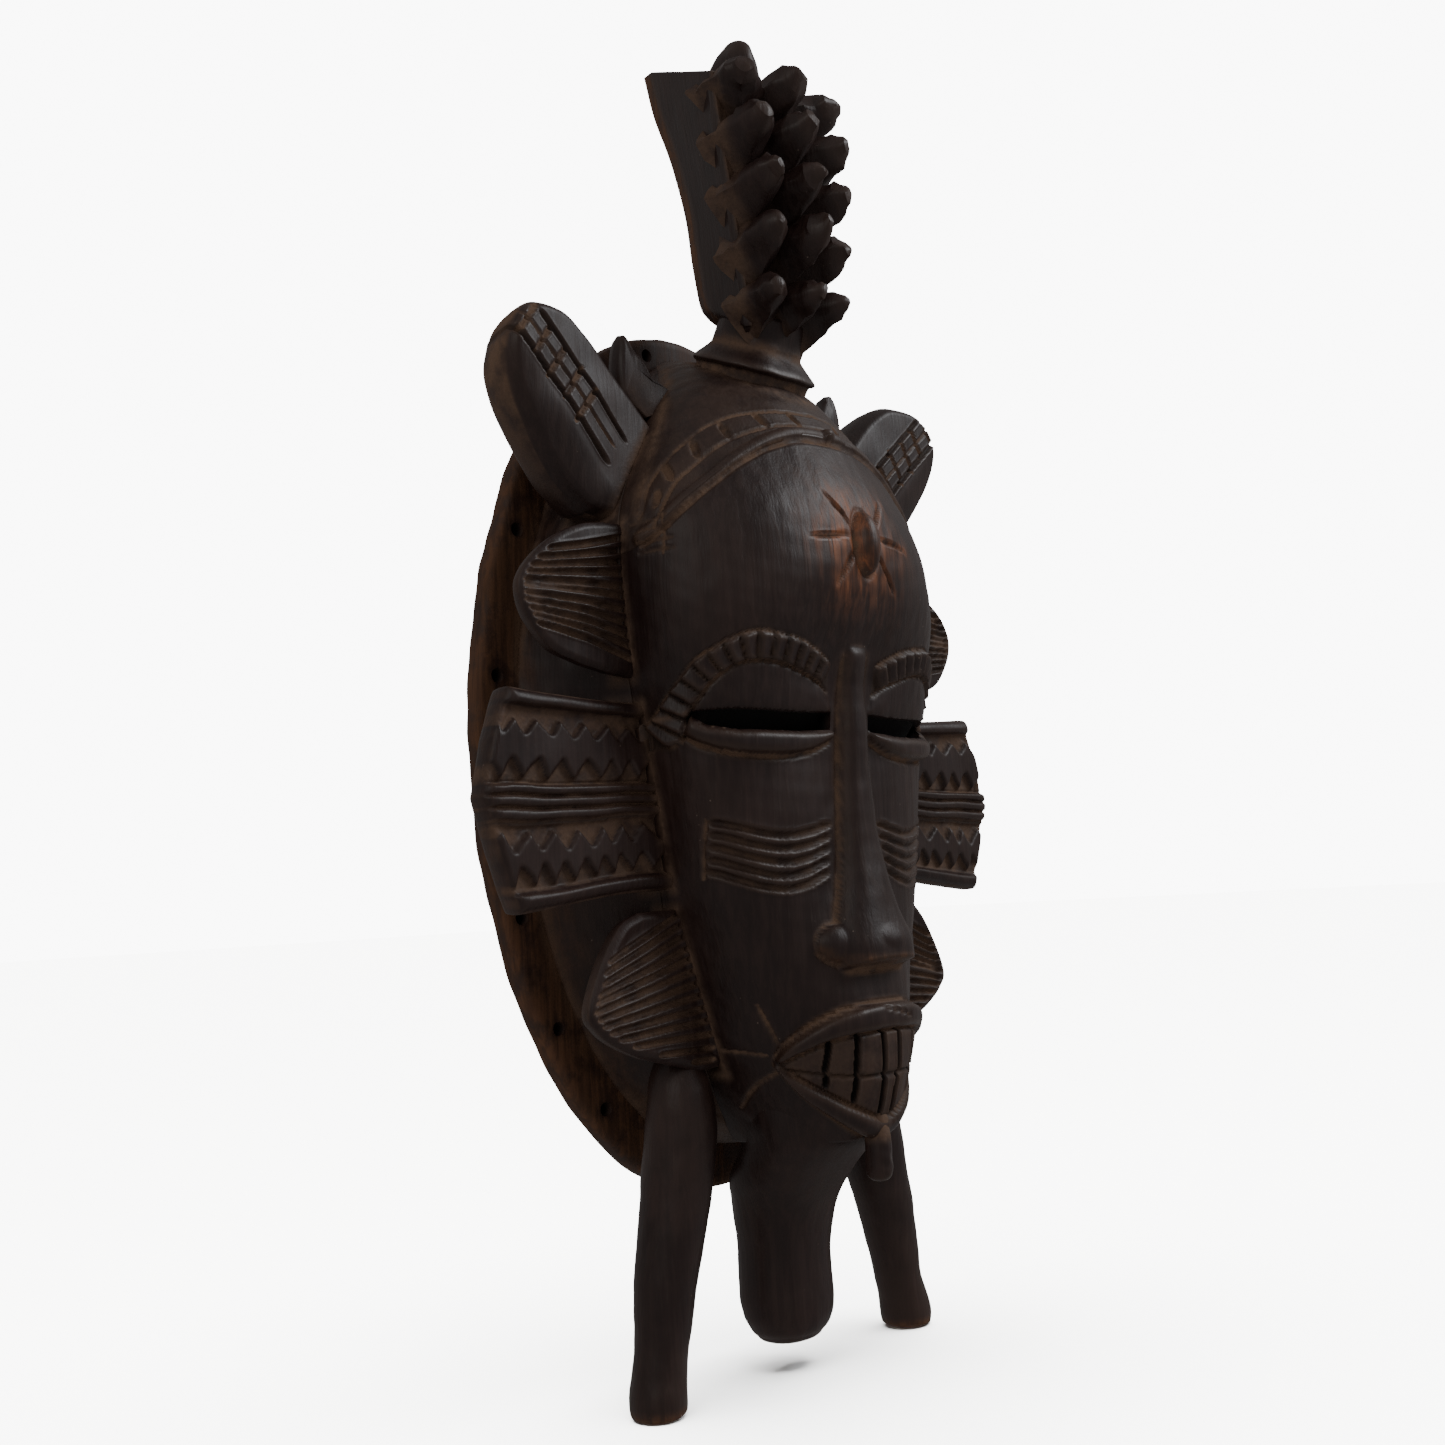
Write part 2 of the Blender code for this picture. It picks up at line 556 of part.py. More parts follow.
def build_crest():
    """Pedestal on the crown with the tall slab and its rows of spikes."""
    neck = Vector((0.0, -31.8, -8.4))
    cells = 6
    layers = []
    for height, half_d, half_w in ((-1.0, 13.6, 11.0), (-3.0, 14.0, 11.4), (-7.2, 18.4, 15.4), (-8.0, 18.4, 15.4),
                                   (-8.4, 17.0, 14.2)):
        grid = []
        for i in range(cells + 1):
            row = []
            for j in range(cells + 1):
                a, b = 2.0 * i / cells - 1.0, 2.0 * j / cells - 1.0
                round_a = a * math.sqrt(1.0 - 0.35 * b * b)
                round_b = b * math.sqrt(1.0 - 0.35 * a * a)
                p = neck + LIFT * height + SLOPE * (half_d * round_a)
                row.append((half_w * round_b, p.y, p.z))
            grid.append(row)
        layers.append(grid)
    layers.append([[(x, y, crown_z(x, y) + 1.6 * GAP) for x, y, z in row] for row in layers[-1]])
    layered("crest_pedestal", layers)

    rings = []
    for z_back, z_front, y_back, y_front, back_w, front_w in (
            (-3.0, -11.0, -19.4, -41.5, 8.5, 10.8), (2.0, -8.5, -22.4, -41.6, 10.0, 12.8),
            (12.0, 6.0, -21.0, -41.4, 10.6, 14.6), (26.0, 20.0, -19.7, -41.2, 11.0, 16.2),
            (41.6, 34.0, -16.3, -41.0, 11.4, 18.4), (58.0, 46.5, -10.8, -40.8, 11.8, 20.0),
            (SLAB_BACK_TOP, SLAB_FRONT_TOP, -7.6, -40.6, 12.0, 20.4)):
        rings.append([(-back_w + 1.6, y_back, z_back), (back_w - 1.6, y_back, z_back),
                      (back_w, y_back - 2.4, z_back - 0.6), (front_w, y_front + 1.6, z_front),
                      (front_w - 1.4, y_front, z_front), (-front_w + 1.4, y_front, z_front),
                      (-front_w, y_front + 1.6, z_front), (-back_w, y_back - 2.4, z_back - 0.6)])
    stacked("crest_slab", rings, smooth=False)

    edges = (58.5, 45.6, 31.0, 17.0, 2.4, -10.0)
    half_widths = (20.0, 18.6, 16.8, 15.2, 13.8, 12.2)
    side_tips = ((17.5, -51.2, 52.6), (15.8, -55.6, 39.0), (13.9, -56.8, 24.8), (12.6, -55.8, 10.4),
                 (12.4, -53.9, -4.6))
    middle_tips = ((0.0, -54.2, 53.4), (0.0, -57.7, 40.6), (0.0, -59.6, 26.2), (0.0, -60.4, 11.6),
                   (0.0, -57.1, -4.4))
    base_y, floor_y, steps = -41.4 - 1.2 * GAP, -43.6, 4
    for word, side, tips in (("left", -1, side_tips), ("middle", 0, middle_tips), ("right", 1, side_tips)):
        grid, back = [], []
        for m in range(5 * steps + 1):
            k = min(m // steps, 4)
            part = m / steps - k
            z = edges[k] + (edges[k + 1] - edges[k]) * part
            w = half_widths[k] + (half_widths[k + 1] - half_widths[k]) * part
            tip_x, tip_y, tip_z = tips[k]
            rise_z = 1.0 - abs(2.0 * part - 1.0) ** 1.4
            row, flat = [], []
            for n in range(5):
                f = 0.5 * n - 1.0
                x = w * (0.68 * side + 0.32 * f)
                rise = rise_z * (1.0 - abs(f) ** 1.4)
                push_x = (side * tip_x - 0.68 * side * w) * rise
                push_z = (tip_z - 0.5 * (edges[k] + edges[k + 1])) * rise
                row.append((x + push_x, floor_y + (tip_y - floor_y) * rise, z + push_z))
                flat.append((x, base_y, z))
            grid.append(row)
            back.append(flat)
        layered("crest_spikes_" + word, [grid, back])

    rings = []
    for lift, r_x, r_y, lean in ((0.0, 6.4, 8.4, 0.0), (4.0, 6.0, 7.8, 0.6), (8.0, 4.8, 6.0, 1.6), (11.5, 3.0, 3.8, 2.8),
                                 (13.4, 1.2, 1.6, 3.6)):
        ring = []
        for s in range(12):
            t = math.tau * s / 12
            y = -31.4 + r_y * math.sin(t)
            top = SLAB_FRONT_TOP + (SLAB_BACK_TOP - SLAB_FRONT_TOP) * (y + 40.6) / 33.0
            ring.append((r_x * math.cos(t), y - lean, top + 1.6 * GAP + lift))
        rings.append(ring)
    stacked("crest_top_spike", rings)


def main():
    for obj in list(bpy.data.objects):
        bpy.data.objects.remove(obj, do_unlink=True)
    build_flange()
    build_bowl()
    build_face()
    build_headband()
    build_crown()
    build_nose()
    build_eyes()
    build_mouth()
    build_boss()
    build_plates()
    build_post()
    build_legs()
    build_crest()


main()
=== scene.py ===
"""Looks of a carved wooden face mask: hollow face, spiked crest, side plates, legs and pierced back flange.

Lengths in the carving code are millimetres.  Heights are measured down from the top edge of the back flange,
+X is on the viewer's right and the face looks along -Y; place() turns such points into metres.
"""
import math

import bmesh
import bpy
import numpy as np
from bpy.props import FloatProperty, FloatVectorProperty, IntProperty, PointerProperty
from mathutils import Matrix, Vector


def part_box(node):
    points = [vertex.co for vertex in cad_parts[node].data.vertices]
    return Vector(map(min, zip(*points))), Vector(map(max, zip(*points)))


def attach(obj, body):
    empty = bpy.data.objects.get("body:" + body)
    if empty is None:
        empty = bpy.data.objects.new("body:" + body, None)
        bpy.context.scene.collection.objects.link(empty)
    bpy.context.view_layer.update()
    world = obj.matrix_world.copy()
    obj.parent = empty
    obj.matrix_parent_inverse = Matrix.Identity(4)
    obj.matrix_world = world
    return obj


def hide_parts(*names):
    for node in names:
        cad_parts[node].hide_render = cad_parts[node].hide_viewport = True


bl_info = {
    "name": "Carved wooden mask",
    "version": (1, 0, 0),
    "blender": (4, 5, 0),
    "location": "3D View > Sidebar > Mask",
    "description": "Carves the pieces of a wooden face mask over its packed frame",
    "category": "Object",
}

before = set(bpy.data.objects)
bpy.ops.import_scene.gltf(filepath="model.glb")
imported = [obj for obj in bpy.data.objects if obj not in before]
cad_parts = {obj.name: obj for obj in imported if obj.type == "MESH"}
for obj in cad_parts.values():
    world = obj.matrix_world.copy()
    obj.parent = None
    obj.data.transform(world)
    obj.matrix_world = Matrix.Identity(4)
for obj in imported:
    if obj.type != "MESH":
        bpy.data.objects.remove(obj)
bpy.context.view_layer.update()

MM = 0.001
RIM_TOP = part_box("rim_flange")[1][2]
FLOOR_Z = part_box("leg_left")[0][2]
SIDES = ((-1, "left"), (1, "right"))

RIM_HALF_WIDTH = 73.0
RIM_HALF_HEIGHT = 114.4
RIM_THICKNESS = 4.5
RIM_BAND = 11.5
TIE_HOLE_ANGLES = (10, 28, 45.5, 61, 81.5, 97, 112.5, 129, 145, 161)
TIE_HOLE_INSET = 5.6
TIE_PEG_LENGTH = 0.0052
BOWL_HALF_WIDTH = RIM_HALF_WIDTH - RIM_BAND
BOWL_HALF_HEIGHT = RIM_HALF_HEIGHT - RIM_BAND
BOWL_FOOT_Y = -4.6
WALL = 5.0
CHIN_Z = -213.0
CORNER_Z = -206.0
CROWN_TOP_Z = -8.6
WALL_TOP_Z = -11.6
BAND_Z = -42.3
BAND_DROP = 30.0
SLAB_BACK_TOP = 71.4
SLAB_FRONT_TOP = 55.6

# Horizontal sections of the head: (height, value).
HALF_WIDTH = ((-8, 6), (-11, 12), (-18, 20), (-27.5, 28.5), (-38, 35.5), (-48, 42), (-62, 49), (-78, 50),
              (-92.5, 49), (-111, 46), (-130, 43), (-155, 38.5), (-173, 33.3), (-190, 27.3), (-202, 22.4),
              (-213, 17))
EDGE_Y = ((-8, -5.6), (-11, -9), (-18, -17), (-27.5, -23.5), (-38, -27), (-48, -29), (-62, -31),
          (-100, -30), (-150, -28), (-213, -26))
FRONT_Y = ((-8, -6.2), (-11, -16), (-14, -25), (-18, -33), (-24, -42), (-30, -48), (-37, -53), (-43, -56.5),
           (-50, -60), (-60, -64), (-70, -65.8), (-80, -65.6), (-88, -63.6), (-96, -60.5), (-104, -58),
           (-113, -57), (-132, -56.7), (-150, -57.2), (-162, -58.5), (-172, -60.3), (-181, -61.7),
           (-190, -62), (-200, -60.5), (-208, -57.5), (-213, -54))
SQUARENESS = ((-8, 2), (-70, 2.1), (-100, 2.8), (-150, 2.8), (-175, 2.2), (-213, 2.0))

# Carved lines of the right half of the face, as (x, z) on its surface.
BROW_LINE = ((9.5, -102.0), (13, -100.3), (18.5, -98.3), (24, -97.1), (29, -96.4), (33.5, -96.6),
             (37.5, -98.3), (41, -101.3), (43, -105), (44.2, -110), (44.4, -118))
BROW_OUTER = ((9.0, -99.0), (13.8, -96.6), (19.9, -94.4), (25.8, -93.4), (31.8, -92.8), (36.7, -94.2),
              (39.8, -96.1), (43.3, -99.1), (45.0, -103.5), (45.7, -107.5), (45.7, -113), (45.0, -119))
BROW_INNER = ((8.6, -106.2), (12.4, -103.7), (17.2, -102), (22.3, -100.5), (26.9, -99.6), (30.9, -99.5),
              (34.9, -100.1), (37.5, -101.6), (39.9, -103.9), (41.5, -107), (42.9, -111), (43.3, -118))
SLIT = ((7.1, -110.9), (20, -111.1), (35, -110.5), (42.9, -110.9), (42.9, -112.1), (40.3, -114.3),
        (35, -115.4), (20, -115.8), (7.1, -115.1))
LID_LOW = ((43.4, -115.9), (40.8, -118.6), (35.9, -120.5), (29.4, -121.3), (21.6, -121.3), (14, -120),
           (7.4, -117.4))
LIP_TOP = ((22.4, -191.6), (21.6, -188.1), (18.2, -184.3), (13.2, -181.9), (6.4, -180.7), (0, -180.4))
LIP_TOP_IN = ((21.4, -192.6), (19.1, -190.5), (15.7, -188.5), (11.1, -187.4), (3.6, -187.0), (0, -186.9))
LIP_LOW_IN = ((21.4, -193.2), (18.6, -196), (14.8, -199.2), (8.7, -203.4), (2.1, -206.6), (0, -206.9))
LIP_LOW = ((22.2, -193.2), (16.4, -201.4), (9.8, -207.3), (3.6, -210.8), (0, -211.7))
TEETH_LINE = ((20.2, -194.2), (16, -195.4), (10, -196.4), (4, -196.9), (0, -197.0))
TOOTH_SLOTS = (2.7, 9.6, 15.2)
CHEEK_TOP_Z = -137.6
BAND_TOP_LINE = ((0, -33.9), (7, -34.5), (12, -35.0), (18.8, -35.8), (25, -37.5), (30.5, -40.4), (36, -45),
                 (39.7, -48.7), (45.6, -56.5), (48.9, -64.4))
BAND_LOW_LINE = ((0, -38.2), (7.1, -38.6), (14.1, -39.4), (22.1, -41.7), (28.2, -44.5), (33.4, -48.0),
                 (38, -52.0), (42.5, -56.5), (46.2, -62.5), (48, -68))
BAND_CUTS = (((8.6, -35.3), (7.6, -37.9)), ((18.2, -36.4), (17.0, -39.9)), ((27.2, -39.5), (27.4, -43.2)),
             ((34.8, -44.5), (36.0, -49.3)), ((41.0, -51.2), (42.4, -55.6)), ((45.5, -58.0), (46.8, -61.8)))
STAR_CUTS = (((6.2, -68.3), (17.7, -69.5)), ((4.0, -71.6), (10.9, -81.0)), ((4.2, -66.2), (10.2, -57.9)))
NOSE_WIDTH = ((-94.6, 3.6), (-100, 3.9), (-113, 4.3), (-122, 4.8), (-132, 5.6), (-149, 7.6), (-156, 9.4),
              (-162, 11.5), (-167, 12.6), (-173, 12.0))
BOSS_Z = -69.9
BOSS_LENGTH = 8.0
BOSS_HALF_WIDTH = 3.7
NOSE_TIP_Z = -166.2
NOSE_WINGS_X = 10.2
NOSE_HEIGHT = ((-94, 0.6), (-97, 1.6), (-104, 2.7), (-113, 3.7), (-132, 4.1), (-149, 5.2), (-161, 6.7),
               (-168, 7.4), (-174, 6.6))

# Side plates: outline from the upper to the lower root, as (x, z), and the heights of the root.
UPPER_LEAF = ((54.5, -64.8), (61, -66), (68, -69), (74.5, -73.5), (79.2, -78.6), (80.7, -83), (78.8, -89),
              (72.5, -95.8), (64, -98.8), (55, -100.6))
LOWER_LEAF = ((49.5, -156.4), (55.5, -159.2), (61.5, -167), (66.2, -177.6), (63.8, -182.2), (59, -185.6),
              (51.5, -189), (41, -191.8), (32, -194.4))
PADDLE = ((43, -28.6), (51.5, -20.2), (60.0, -14.4), (67, -13.0), (75, -13.6), (81, -17.4), (84.2, -24.6),
          (82.6, -33), (76, -43), (66, -53.5), (55, -61.2))
WING_TOP = ((40, -107.6), (60, -107.4), (73, -106.7), (85, -105.8))
WING_BOTTOM = ((40, -151.0), (55, -151.6), (70, -153.4), (84, -155.0))
WING_OUTER = ((-105.8, 85.0), (-117, 89.2), (-129.8, 92.2), (-142.5, 88.6), (-155, 84.0))
SEATS = (("upper_leaf", -64.5, -101.5, -32.2, -26.5), ("wing", -107.4, -151.2, -32.6, -25.0),
         ("lower_leaf", -156.0, -196.0, -32.6, -27.0), ("paddle", -41.6, -62.8, -29.0, -14.5))

LEG_STATIONS = ((-190.5, 32.6, -24.0, 3.2), (-192, 33.0, -24.4, 5.2), (-196, 33.7, -25.2, 6.9),
                (-201, 34.1, -25.8, 7.9), (-206, 34.2, -25.9, 8.4), (-214, 35.0, -25.6, 8.6),
                (-223, 36.8, -25.5, 8.4), (-232, 39.0, -25.5, 7.9), (-241, 41.3, -25.5, 7.4),
                (-249, 42.7, -25.5, 6.8), (-256, 43.8, -25.6, 6.3), (-261, 44.8, -25.8, 6.4),
                (-265.5, 45.6, -25.9, 6.8), (-268.2, 45.9, -26.0, 6.6), (-269.2, 45.9, -26.0, 5.9),
                (-269.5, 45.9, -26.0, 4.4))
POST_RINGS = ((-203, 20.2, -22.5, -50.0), (-208, 19.3, -21.5, -51.5), (-213.4, 17.9, -21.0, -51.5),
              (-217, 17.3, -19.0, -48.5), (-222, 16.8, -15.5, -43.5), (-229, 14.4, -14.6, -38.5),
              (-238, 12.8, -15.2, -35.8), (-248, 12.6, -15.0, -35.4), (-254, 12.6, -15.4, -35.5),
              (-258, 11.6, -16.6, -34.9), (-261, 9.4, -18.4, -33.2), (-262.8, 6.2, -21.0, -30.6),
              (-263.4, 2.6, -24.0, -27.6))


# ---------------------------------------------------------------- settings

class MaskFinishSettings(bpy.types.PropertyGroup):
    """Colours and polish of the wood."""
    stain: FloatVectorProperty(name="Stain", description="Deepest colour of the stained wood",
                               subtype="COLOR", size=3, min=0.0, max=1.0, default=(0.0185, 0.0077, 0.0068))
    stain_light: FloatVectorProperty(name="Thin stain", description="Stain where it lies thin on the grain",
                                     subtype="COLOR", size=3, min=0.0, max=1.0, default=(0.050, 0.027, 0.022))
    bare: FloatVectorProperty(name="Bare wood", description="Wood where the stain has gone", subtype="COLOR",
                              size=3, min=0.0, max=1.0, default=(0.150, 0.070, 0.035))
    # This colour is dust, and on the crown it is also painted light.
    dust: FloatVectorProperty(name="Dust", description="Pale earth that sits in the cuts", subtype="COLOR",
                              size=3, min=0.0, max=1.0, default=(0.170, 0.104, 0.068))
    ochre: FloatVectorProperty(name="Ochre", description="Rubbed ochre round the boss of the forehead",
                               subtype="COLOR", size=3, min=0.0, max=1.0, default=(0.300, 0.105, 0.042))
    polish: FloatProperty(name="Roughness", description="Roughness of the waxed stain", min=0.05, max=1.0,
                          default=0.46)


class MaskCarvingSettings(bpy.types.PropertyGroup):
    """Sizes of the carved details."""
    cell: FloatProperty(name="Cell", description="Width of one mesh cell on the face, in millimetres",
                        min=0.3, max=3.0, default=0.5)
    tie_hole: FloatProperty(name="Tie hole", description="Radius of the holes in the flange", unit="LENGTH",
                            min=0.001, max=0.006, default=0.0026)
    cheek_lines: IntProperty(name="Cheek lines", description="Grooves across each cheek",
                             min=2, max=9, default=5)
    brow_steps: IntProperty(name="Brow steps", description="Notches along each brow",
                            min=4, max=30, default=15)
    leaf_lines: IntProperty(name="Leaf lines", description="Grooves across each leaf",
                            min=4, max=20, default=11)
    spike_girth: FloatProperty(name="Spike girth", description="Thickness of the crest spikes",
                               min=0.5, max=1.5, default=1.0)


class MaskStageSettings(bpy.types.PropertyGroup):
    """Floor, light and camera."""
    floor: FloatVectorProperty(name="Floor", description="Colour of the floor and backdrop", subtype="COLOR",
                               size=3, min=0.0, max=1.0, default=(0.86, 0.86, 0.85))
    key_power: FloatProperty(name="Key light", description="Power of the large soft light",
                             unit="POWER", min=0.0, default=8.0)
    fill_power: FloatProperty(name="Fill light", description="Power of the weaker light",
                              unit="POWER", min=0.0, default=2.0)
    floor_power: FloatProperty(name="Floor light", description="Strength of the light that whitens the floor",
                               min=0.0, default=32.0)
    ambient: FloatProperty(name="Ambient", description="Strength of the soft light from all round", min=0.0,
                           default=0.27)
    backdrop: FloatProperty(name="Backdrop", description="Brightness of the backdrop", min=0.0, default=9.5)
    lens: FloatProperty(name="Lens", description="Focal length on a 36 mm sensor, in millimetres", min=10.0,
                        max=200.0, default=39.11)


def carving_settings():
    return bpy.context.scene.mask_carving


# ---------------------------------------------------------------- wood finishes

FINE_GRAIN = (1500.0, 1500.0, 90.0)
BROAD_GRAIN = (560.0, 560.0, 34.0)
PORE_COLOUR = (0.045, 0.030, 0.023)
RUBBED_COLOUR = (0.085, 0.050, 0.034)
DOT_COLOUR = (0.26, 0.20, 0.16)
# Near black: painted shade for cuts, slots, notches and holes.
PAINTED_SHADE_COLOUR = (0.0004, 0.0003, 0.0003)
WOOD_SHINE = 0.42
GRAIN_BUMP = 0.00028


class Shade:
    """A value in a shader tree; arithmetic on it adds Math nodes."""

    def __init__(self, finish, socket):
        self.finish = finish
        self.socket = socket

    def math(self, operation, *values):
        return self.finish.node("ShaderNodeMath", {"operation": operation}, dict(enumerate(values)))

    def __add__(self, other):
        return self.math("ADD", self, other)

    __radd__ = __add__

    def __sub__(self, other):
        return self.math("SUBTRACT", self, other)

    def __rsub__(self, other):
        return self.math("SUBTRACT", other, self)

    def __mul__(self, other):
        return self.math("MULTIPLY", self, other)

    __rmul__ = __mul__

    def clamped(self):
        return self.finish.node("ShaderNodeClamp", {}, {0: self})

    def between(self, low, high):
        """0 below low, 1 above high, smooth in the middle."""
        return self.finish.node("ShaderNodeMapRange", {"interpolation_type": "SMOOTHSTEP"},
                                {"Value": self, "From Min": low, "From Max": high})


class Finish:
    """A material under construction."""

    def __init__(self, name):
        self.material = bpy.data.materials.new(name)
        self.material.use_nodes = True
        self.tree = self.material.node_tree
        self.shader = self.tree.nodes["Principled BSDF"]
        self.where = self.node("ShaderNodeTexCoord", {}, {}, "Object")

    def node(self, kind, settings, sockets, output=0):
        """Adds one node: its settings first, then the values or links of its sockets."""
        node = self.tree.nodes.new(kind)
        for key, value in settings.items():
            setattr(node, key, value)
        for key, value in sockets.items():
            self.feed(node.inputs[key], value)
        return Shade(self, node.outputs[output])

    def feed(self, socket, value):
        if isinstance(value, Shade):
            self.tree.links.new(value.socket, socket)
        else:
            socket.default_value = value

    def attribute(self, name):
        return self.node("ShaderNodeAttribute", {"attribute_name": name}, {}, "Fac")

    def stretched(self, scale):
        return self.node("ShaderNodeMapping", {}, {"Vector": self.where, "Scale": scale})

    def noise(self, scale, detail=4.0, rough=0.55, vector=None, distort=0.0):
        return self.node("ShaderNodeTexNoise", {},
                         {"Vector": vector or self.where, "Scale": scale, "Detail": detail,
                          "Roughness": rough, "Distortion": distort})

    def mix(self, factor, a, b):
        """Colour mix; a and b are colours or links."""
        def colour(value):
            return value if isinstance(value, Shade) else (*value, 1.0)
        return self.node("ShaderNodeMix", {"data_type": "RGBA"}, {0: factor, 6: colour(a), 7: colour(b)}, 2)


def carved_wood(name, dust_gain=1.0, bare_gain=1.0, polish=None, wear_all=0.0):
    """Dark stained, waxed wood: dust in the cuts, rubbed edges, fine open grain that runs up and down, and
    near-black painted shade in cuts, slots and holes.
    """
    look = bpy.context.scene.mask_finish
    f = Finish(name)
    grain = f.noise(1.0, 3.0, 0.6, f.stretched(FINE_GRAIN))
    fibre = f.noise(1.0, 4.0, 0.6, f.stretched(BROAD_GRAIN), 0.4)
    cloud = f.noise(26.0, 5.0, 0.6)
    mottle = f.noise(150.0, 4.0, 0.6)
    crumbs = f.noise(900.0, 2.0, 0.5)
    speck = f.node("ShaderNodeTexVoronoi", {"feature": "F1"},
                   {"Vector": f.where, "Scale": 330.0, "Randomness": 1.0}, "Distance")
    dust, wear = f.attribute("dust"), f.attribute("wear")
    bare, ochre, soot = f.attribute("bare"), f.attribute("ochre"), f.attribute("soot")

    thin = (fibre.between(0.38, 0.72) * 0.42 + cloud.between(0.40, 0.66) * 0.48).clamped()
    colour = f.mix(thin, look.stain, look.stain_light)
    pores = grain.between(0.60, 0.72)
    colour = f.mix(pores * 0.35, colour, PORE_COLOUR)
    rubbed = (wear * (0.35 + mottle) * 1.1 + wear_all * cloud.between(0.45, 0.62)).clamped()
    colour = f.mix(rubbed * 0.42, colour, RUBBED_COLOUR)
    bare_patches = 0.30 + 1.25 * mottle.between(0.28, 0.62)
    bare_mask = (bare * bare_gain * bare_patches * (0.45 + fibre)).clamped()
    streaked = f.mix(fibre.between(0.34, 0.66), [c * 0.52 for c in look.bare], look.bare)
    colour = f.mix(bare_mask, colour, streaked)
    ochre_mask = (ochre * (0.25 + 1.3 * fibre.between(0.36, 0.66)) * (0.5 + mottle)).clamped()
    colour = f.mix(ochre_mask, colour, look.ochre)
    # The dust layer is pale dust, and on the crown also painted light.
    dust_patches = 0.25 + 1.15 * mottle.between(0.30, 0.62)
    dust_and_light_mask = (dust * dust_gain * dust_patches * (0.7 + 0.6 * crumbs)).clamped()
    colour = f.mix(dust_and_light_mask, colour, look.dust)
    dots = (1.0 - speck.between(0.045, 0.085)) * f.noise(60.0, 2.0).between(0.56, 0.66)
    colour = f.mix(dots * 0.55, colour, DOT_COLOUR)
    # Painted shade: cuts, slots and holes are painted near black here.
    colour = f.mix(soot * 0.97, colour, PAINTED_SHADE_COLOUR)
    f.feed(f.shader.inputs["Base Color"], colour)

    base = look.polish if polish is None else polish
    rough = base + 0.16 * (cloud - 0.5) + 0.22 * (fibre - 0.5) + 0.10 * pores
    rough = (rough + 0.42 * dust_and_light_mask + 0.25 * bare_mask - 0.06 * rubbed + 0.5 * soot).clamped()
    f.feed(f.shader.inputs["Roughness"], rough)
    f.shader.inputs["Specular IOR Level"].default_value = WOOD_SHINE
    relief = fibre * 0.9 + grain * 0.45 + mottle * 0.5 + dust_and_light_mask * crumbs * 1.6 + bare_mask * mottle * 0.8
    bump = f.node("ShaderNodeBump", {},
                  {"Strength": 0.55, "Distance": GRAIN_BUMP, "Height": relief}, "Normal")
    f.feed(f.shader.inputs["Normal"], bump)
    return f.material


# ---------------------------------------------------------------- shape of the head

def curve(knots, at):
    """Smooth values through (position, value) knots."""
    k = np.array(sorted(knots), dtype=float)
    x, y = k[:, 0], k[:, 1]
    slope = np.gradient(y, x)
    at = np.clip(np.asarray(at, dtype=float), x[0], x[-1])
    i = np.clip(np.searchsorted(x, at) - 1, 0, len(x) - 2)
    h = x[i + 1] - x[i]
    s = (at - x[i]) / h
    near = (2 * s**3 - 3 * s**2 + 1) * y[i] + (s**3 - 2 * s**2 + s) * h * slope[i]
    far = (-2 * s**3 + 3 * s**2) * y[i + 1] + (s**3 - s**2) * h * slope[i + 1]
    return near + far


def ramp(value, low, high):
    """Smooth step from 0 at low to 1 at high."""
    t = np.clip((value - low) / (high - low), 0.0, 1.0)
    return t * t * (3.0 - 2.0 * t)


def bowl_half_width(z):
    q = (z + RIM_HALF_HEIGHT) / BOWL_HALF_HEIGHT
    return BOWL_HALF_WIDTH * np.sqrt(np.clip(1.0 - q * q, 0.0, None))


def section(z, inside=False):
    """Half-width, edge y, front y and squareness of the head at heights z."""
    w, edge, front = curve(HALF_WIDTH, z), curve(EDGE_Y, z), curve(FRONT_Y, z)
    if inside:
        w = np.maximum(w - WALL, 0.5 * w)
        front = np.minimum(front + 1.15 * WALL, edge - 0.25)
    return w, edge, front, curve(SQUARENESS, z)


def front_y(x, z, inside=False):
    """The y of the uncarved front at (x, z)."""
    w, edge, front, n = section(z, inside)
    q = np.clip(np.abs(x) / w, 0.0, 1.0)
    return edge - (edge - front) * (1.0 - q**n) ** (1.0 / n)


def skin_x(y, z):
    """Half-width of the head at depth y and height z."""
    w, edge, front, n = section(z)
    wall = w + (bowl_half_width(z) - w) * np.clip((y - edge) / (BOWL_FOOT_Y - edge), 0.0, 1.0)
    face = w * np.clip(1.0 - (np.clip(edge - y, 0.0, None) / (edge - front)) ** n, 0.0, None) ** (1.0 / n)
    return np.where(y >= edge, wall, face)


def skin_line(side, y, z):
    """Points on the side of the head at depths y and heights z."""
    return np.stack([side * skin_x(y, z), y, z], axis=1)


def band_z(fraction):
    """Lower edge of the headband where x is this fraction of the half-width."""
    return BAND_Z - BAND_DROP * np.abs(fraction) ** 3


def band_line(side, fractions, lift):
    """Points along the lower edge of the headband, raised by a lift."""
    z = band_z(fractions) + lift
    x = fractions * section(z)[0]
    return np.stack([side * x, front_y(x, z), z], axis=1)


def even_fractions(count, z=-130.0):
    """Fractions of the half-width, evenly spaced along the surface at height z."""
    f = np.sin(np.linspace(-0.5, 0.5, 4001) * math.pi)
    w, edge, front, n = section(z)
    y = edge - (edge - front) * np.clip(1.0 - np.abs(f) ** n, 0.0, None) ** (1.0 / n)
    run = np.concatenate([[0.0], np.cumsum(np.hypot(np.diff(f * w), np.diff(y)))])
    return np.interp(np.linspace(0.0, run[-1], count + 1), run, f)


def run_along(points):
    """Length of a bent line from its start to each of its points."""
    return np.concatenate([[0.0], np.cumsum(np.linalg.norm(np.diff(points, axis=0), axis=1))])


